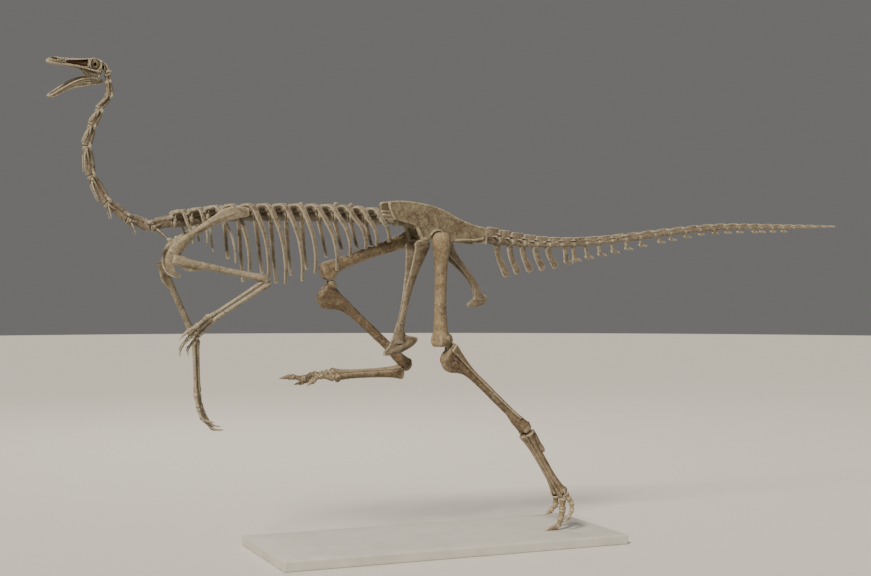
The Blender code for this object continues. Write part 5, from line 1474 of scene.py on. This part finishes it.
def model_arms():
    shoulder = at(-1.628, LEFT * 0.190, 1.668)
    elbow = shoulder + (toward(-78.5) + Vector((0, LEFT * 0.035, 0))).normalized() * sizes().humerus
    y = elbow.y
    crook = elbow + Vector((-0.012, 0, -0.020))
    wrist = at(-1.452, y, 1.345)
    roots = [at(-1.476, y - 0.014, 1.356), at(-1.464, y, 1.338), at(-1.446, y + 0.012, 1.324)]
    ends = [at(-1.540, y - 0.016, 1.302), at(-1.534, y, 1.276), at(-1.510, y + 0.016, 1.258)]
    fingers = [
        [at(-1.5435, y - 0.016, 1.299), at(-1.582, y - 0.018, 1.280), at(-1.640, y - 0.020, 1.226)],
        [at(-1.5375, y, 1.273), at(-1.578, y, 1.240), at(-1.624, y, 1.188), at(-1.628, y, 1.134)],
        [at(-1.513, y + 0.018, 1.254), at(-1.548, y + 0.020, 1.216), at(-1.580, y + 0.022, 1.178),
         at(-1.576, y + 0.022, 1.138)],
    ]
    arm(LEFT, "left", (shoulder, elbow, crook, wrist), (Vector((0, 0, -1)), Vector((0.55, 0, -0.83))),
        roots, ends, fingers)

    shoulder = at(-1.640, RIGHT * 0.190, 1.640)
    elbow = at(-1.420, 0.340, 1.222)
    y = 0.380
    crook = elbow + Vector((0.008, 0.004, -0.026))
    wrist = at(-1.393, y, 0.884)
    roots = [at(-1.404, y - 0.012, 0.872), at(-1.392, y, 0.868), at(-1.378, y + 0.012, 0.872)]
    ends = [at(-1.392, y - 0.018, 0.800), at(-1.380, y, 0.794), at(-1.362, y + 0.018, 0.800)]
    fingers = [
        [at(-1.391, y - 0.018, 0.795), at(-1.366, y - 0.020, 0.726), at(-1.290, y - 0.022, 0.706)],
        [at(-1.377, y, 0.789), at(-1.348, y, 0.720), at(-1.296, y, 0.664), at(-1.224, y, 0.658)],
        [at(-1.359, y + 0.018, 0.795), at(-1.334, y + 0.020, 0.738), at(-1.300, y + 0.022, 0.690),
         at(-1.240, y + 0.022, 0.676)],
    ]
    arm(RIGHT, "right", (shoulder, elbow, crook, wrist), (Vector((-0.6, -0.5, -0.6)), Vector((0.8, 0.6, 0))),
        roots, ends, fingers)


# ---------------------------------------------------------------- base and studio

def model_base():
    """Painted board with rounded edges."""
    low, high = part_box("stand_base")
    bpy.ops.object.select_all(action="DESELECT")
    bpy.ops.mesh.primitive_cube_add(size=1, location=(0, 0, 0))
    board = bpy.context.object
    board.name = board.data.name = "base_board"
    middle = (Vector(low) + Vector(high)) / 2
    board.data.transform(Matrix.Translation(middle) @ Matrix.Diagonal((*(Vector(high) - Vector(low)), 1)))
    apply(board, "BEVEL", width=0.008, segments=4, limit_method="ANGLE", angle_limit=radians(40))
    bpy.ops.object.mode_set(mode="EDIT")
    bpy.ops.mesh.select_all(action="SELECT")
    bpy.ops.mesh.subdivide(number_cuts=6)
    bpy.ops.object.mode_set(mode="OBJECT")
    finish(board, base_paint(), "base_paint", "stand_base")


def area_light(name, place, target, size, watts, tint):
    data = bpy.data.lights.new(name, "AREA")
    data.shape = "DISK"
    data.size = size
    data.energy = watts
    data.color = linear(tint)[:3]
    lamp = bpy.data.objects.new(name, data)
    bpy.context.collection.objects.link(lamp)
    aim = (Vector(target) - Vector(place)).to_track_quat("-Z", "Y")
    lamp.matrix_world = Matrix.LocRotScale(Vector(place), aim, None)


def model_studio():
    """Pale floor, one large soft light from the upper left, a weak fill, a back light and the camera."""
    bpy.ops.object.select_all(action="DESELECT")
    bpy.ops.mesh.primitive_circle_add(vertices=96, radius=40, fill_type="NGON")
    ground = bpy.context.object
    ground.name = "floor"
    made, tree, shader = new_surface("pale_matt_floor")
    if tree is not None:
        shader.inputs["Base Color"].default_value = tuple(colours().floor)
        shader.inputs["Roughness"].default_value = 0.85
    ground.data.materials.append(made)
    sun = bpy.data.lights.new("key", "SUN")
    sun.energy = 5.5
    sun.angle = radians(14)
    sun.color = linear("FFF3E0")[:3]
    lamp = bpy.data.objects.new("key", sun)
    bpy.context.collection.objects.link(lamp)
    lamp.rotation_euler = Vector((0.62, 0.52, -0.72)).to_track_quat("-Z", "Y").to_euler()
    area_light("fill", (6.5, -6.0, 4.5), (0.4, 0, 1.4), 4.0, 80, "EAF1FF")
    area_light("back", (0.5, 7.5, 7.5), (0.3, 0, 1.4), 5.0, 330, "FFF8F0")
    world = bpy.data.worlds.new("studio")
    world.use_nodes = True
    world.node_tree.nodes["Background"].inputs["Color"].default_value = linear("F2F0EC")
    world.node_tree.nodes["Background"].inputs["Strength"].default_value = 0.18
    bpy.context.scene.world = world
    data = bpy.data.cameras.new("camera")
    data.lens = 57.2
    data.sensor_width = 36
    data.clip_end = 200
    camera = bpy.data.objects.new("camera", data)
    bpy.context.collection.objects.link(camera)
    camera.location = (-3.321, -7.824, 1.577)
    camera.rotation_euler = (radians(90), 0, radians(-23))
    bpy.context.scene.camera = camera


# ---------------------------------------------------------------- add-on

class SKELETON_OT_head(bpy.types.Operator):
    """Model the skull with its stone filling, the eye rings and the lower jaw"""
    bl_idname = "skeleton.head"
    bl_label = "Head"

    def execute(self, context):
        model_head()
        return {"FINISHED"}


class SKELETON_OT_neck(bpy.types.Operator):
    """Model the ten neck vertebrae with their thin ribs"""
    bl_idname = "skeleton.neck"
    bl_label = "Neck"

    def execute(self, context):
        model_neck()
        return {"FINISHED"}


class SKELETON_OT_trunk(bpy.types.Operator):
    """Model the back and hip vertebrae and both sides of the rib cage"""
    bl_idname = "skeleton.trunk"
    bl_label = "Back and ribs"

    def execute(self, context):
        model_trunk()
        return {"FINISHED"}


class SKELETON_OT_tail(bpy.types.Operator):
    """Model the tail vertebrae and the chevrons under them"""
    bl_idname = "skeleton.tail"
    bl_label = "Tail"

    def execute(self, context):
        model_tail()
        return {"FINISHED"}


class SKELETON_OT_hips(bpy.types.Operator):
    """Model the hip blades, the pubis and the ischium"""
    bl_idname = "skeleton.hips"
    bl_label = "Hips"

    def execute(self, context):
        model_hips()
        return {"FINISHED"}


class SKELETON_OT_legs(bpy.types.Operator):
    """Model both legs, from the thigh bones to the claws of the toes"""
    bl_idname = "skeleton.legs"
    bl_label = "Legs"

    def execute(self, context):
        model_legs()
        return {"FINISHED"}


class SKELETON_OT_arms(bpy.types.Operator):
    """Model both arms, from the shoulder blades to the claws of the hands"""
    bl_idname = "skeleton.arms"
    bl_label = "Arms"

    def execute(self, context):
        model_arms()
        return {"FINISHED"}


class SKELETON_OT_base(bpy.types.Operator):
    """Model the painted base that the standing foot rests on"""
    bl_idname = "skeleton.base"
    bl_label = "Base"

    def execute(self, context):
        model_base()
        return {"FINISHED"}


class SKELETON_OT_studio(bpy.types.Operator):
    """Set up the floor, the lights and the camera"""
    bl_idname = "skeleton.studio"
    bl_label = "Studio"

    def execute(self, context):
        model_studio()
        return {"FINISHED"}


OPERATORS = (SKELETON_OT_head, SKELETON_OT_neck, SKELETON_OT_trunk, SKELETON_OT_tail, SKELETON_OT_hips,
             SKELETON_OT_legs, SKELETON_OT_arms, SKELETON_OT_base, SKELETON_OT_studio)


class SKELETON_PT_panel(bpy.types.Panel):
    """Sizes, colours and the steps that build the skeleton"""
    bl_idname = "SKELETON_PT_panel"
    bl_label = "Skeleton"
    bl_space_type = "VIEW_3D"
    bl_region_type = "UI"
    bl_category = "Skeleton"

    def draw(self, context):
        for group in (context.scene.skeleton_sizes, context.scene.skeleton_colours):
            for name in group.__annotations__:
                self.layout.prop(group, name)
        for operator in OPERATORS:
            self.layout.operator(operator.bl_idname)


CLASSES = (SkeletonSizes, SkeletonColours, *OPERATORS, SKELETON_PT_panel)


def register():
    for item in CLASSES:
        bpy.utils.register_class(item)
    bpy.types.Scene.skeleton_sizes = PointerProperty(type=SkeletonSizes)
    bpy.types.Scene.skeleton_colours = PointerProperty(type=SkeletonColours)


def unregister():
    del bpy.types.Scene.skeleton_colours
    del bpy.types.Scene.skeleton_sizes
    for item in reversed(CLASSES):
        bpy.utils.unregister_class(item)


def main():
    register()
    bpy.ops.skeleton.head()
    bpy.ops.skeleton.neck()
    bpy.ops.skeleton.trunk()
    bpy.ops.skeleton.tail()
    bpy.ops.skeleton.hips()
    bpy.ops.skeleton.legs()
    bpy.ops.skeleton.arms()
    bpy.ops.skeleton.base()
    bpy.ops.skeleton.studio()


if __name__ == "__main__":
    main()
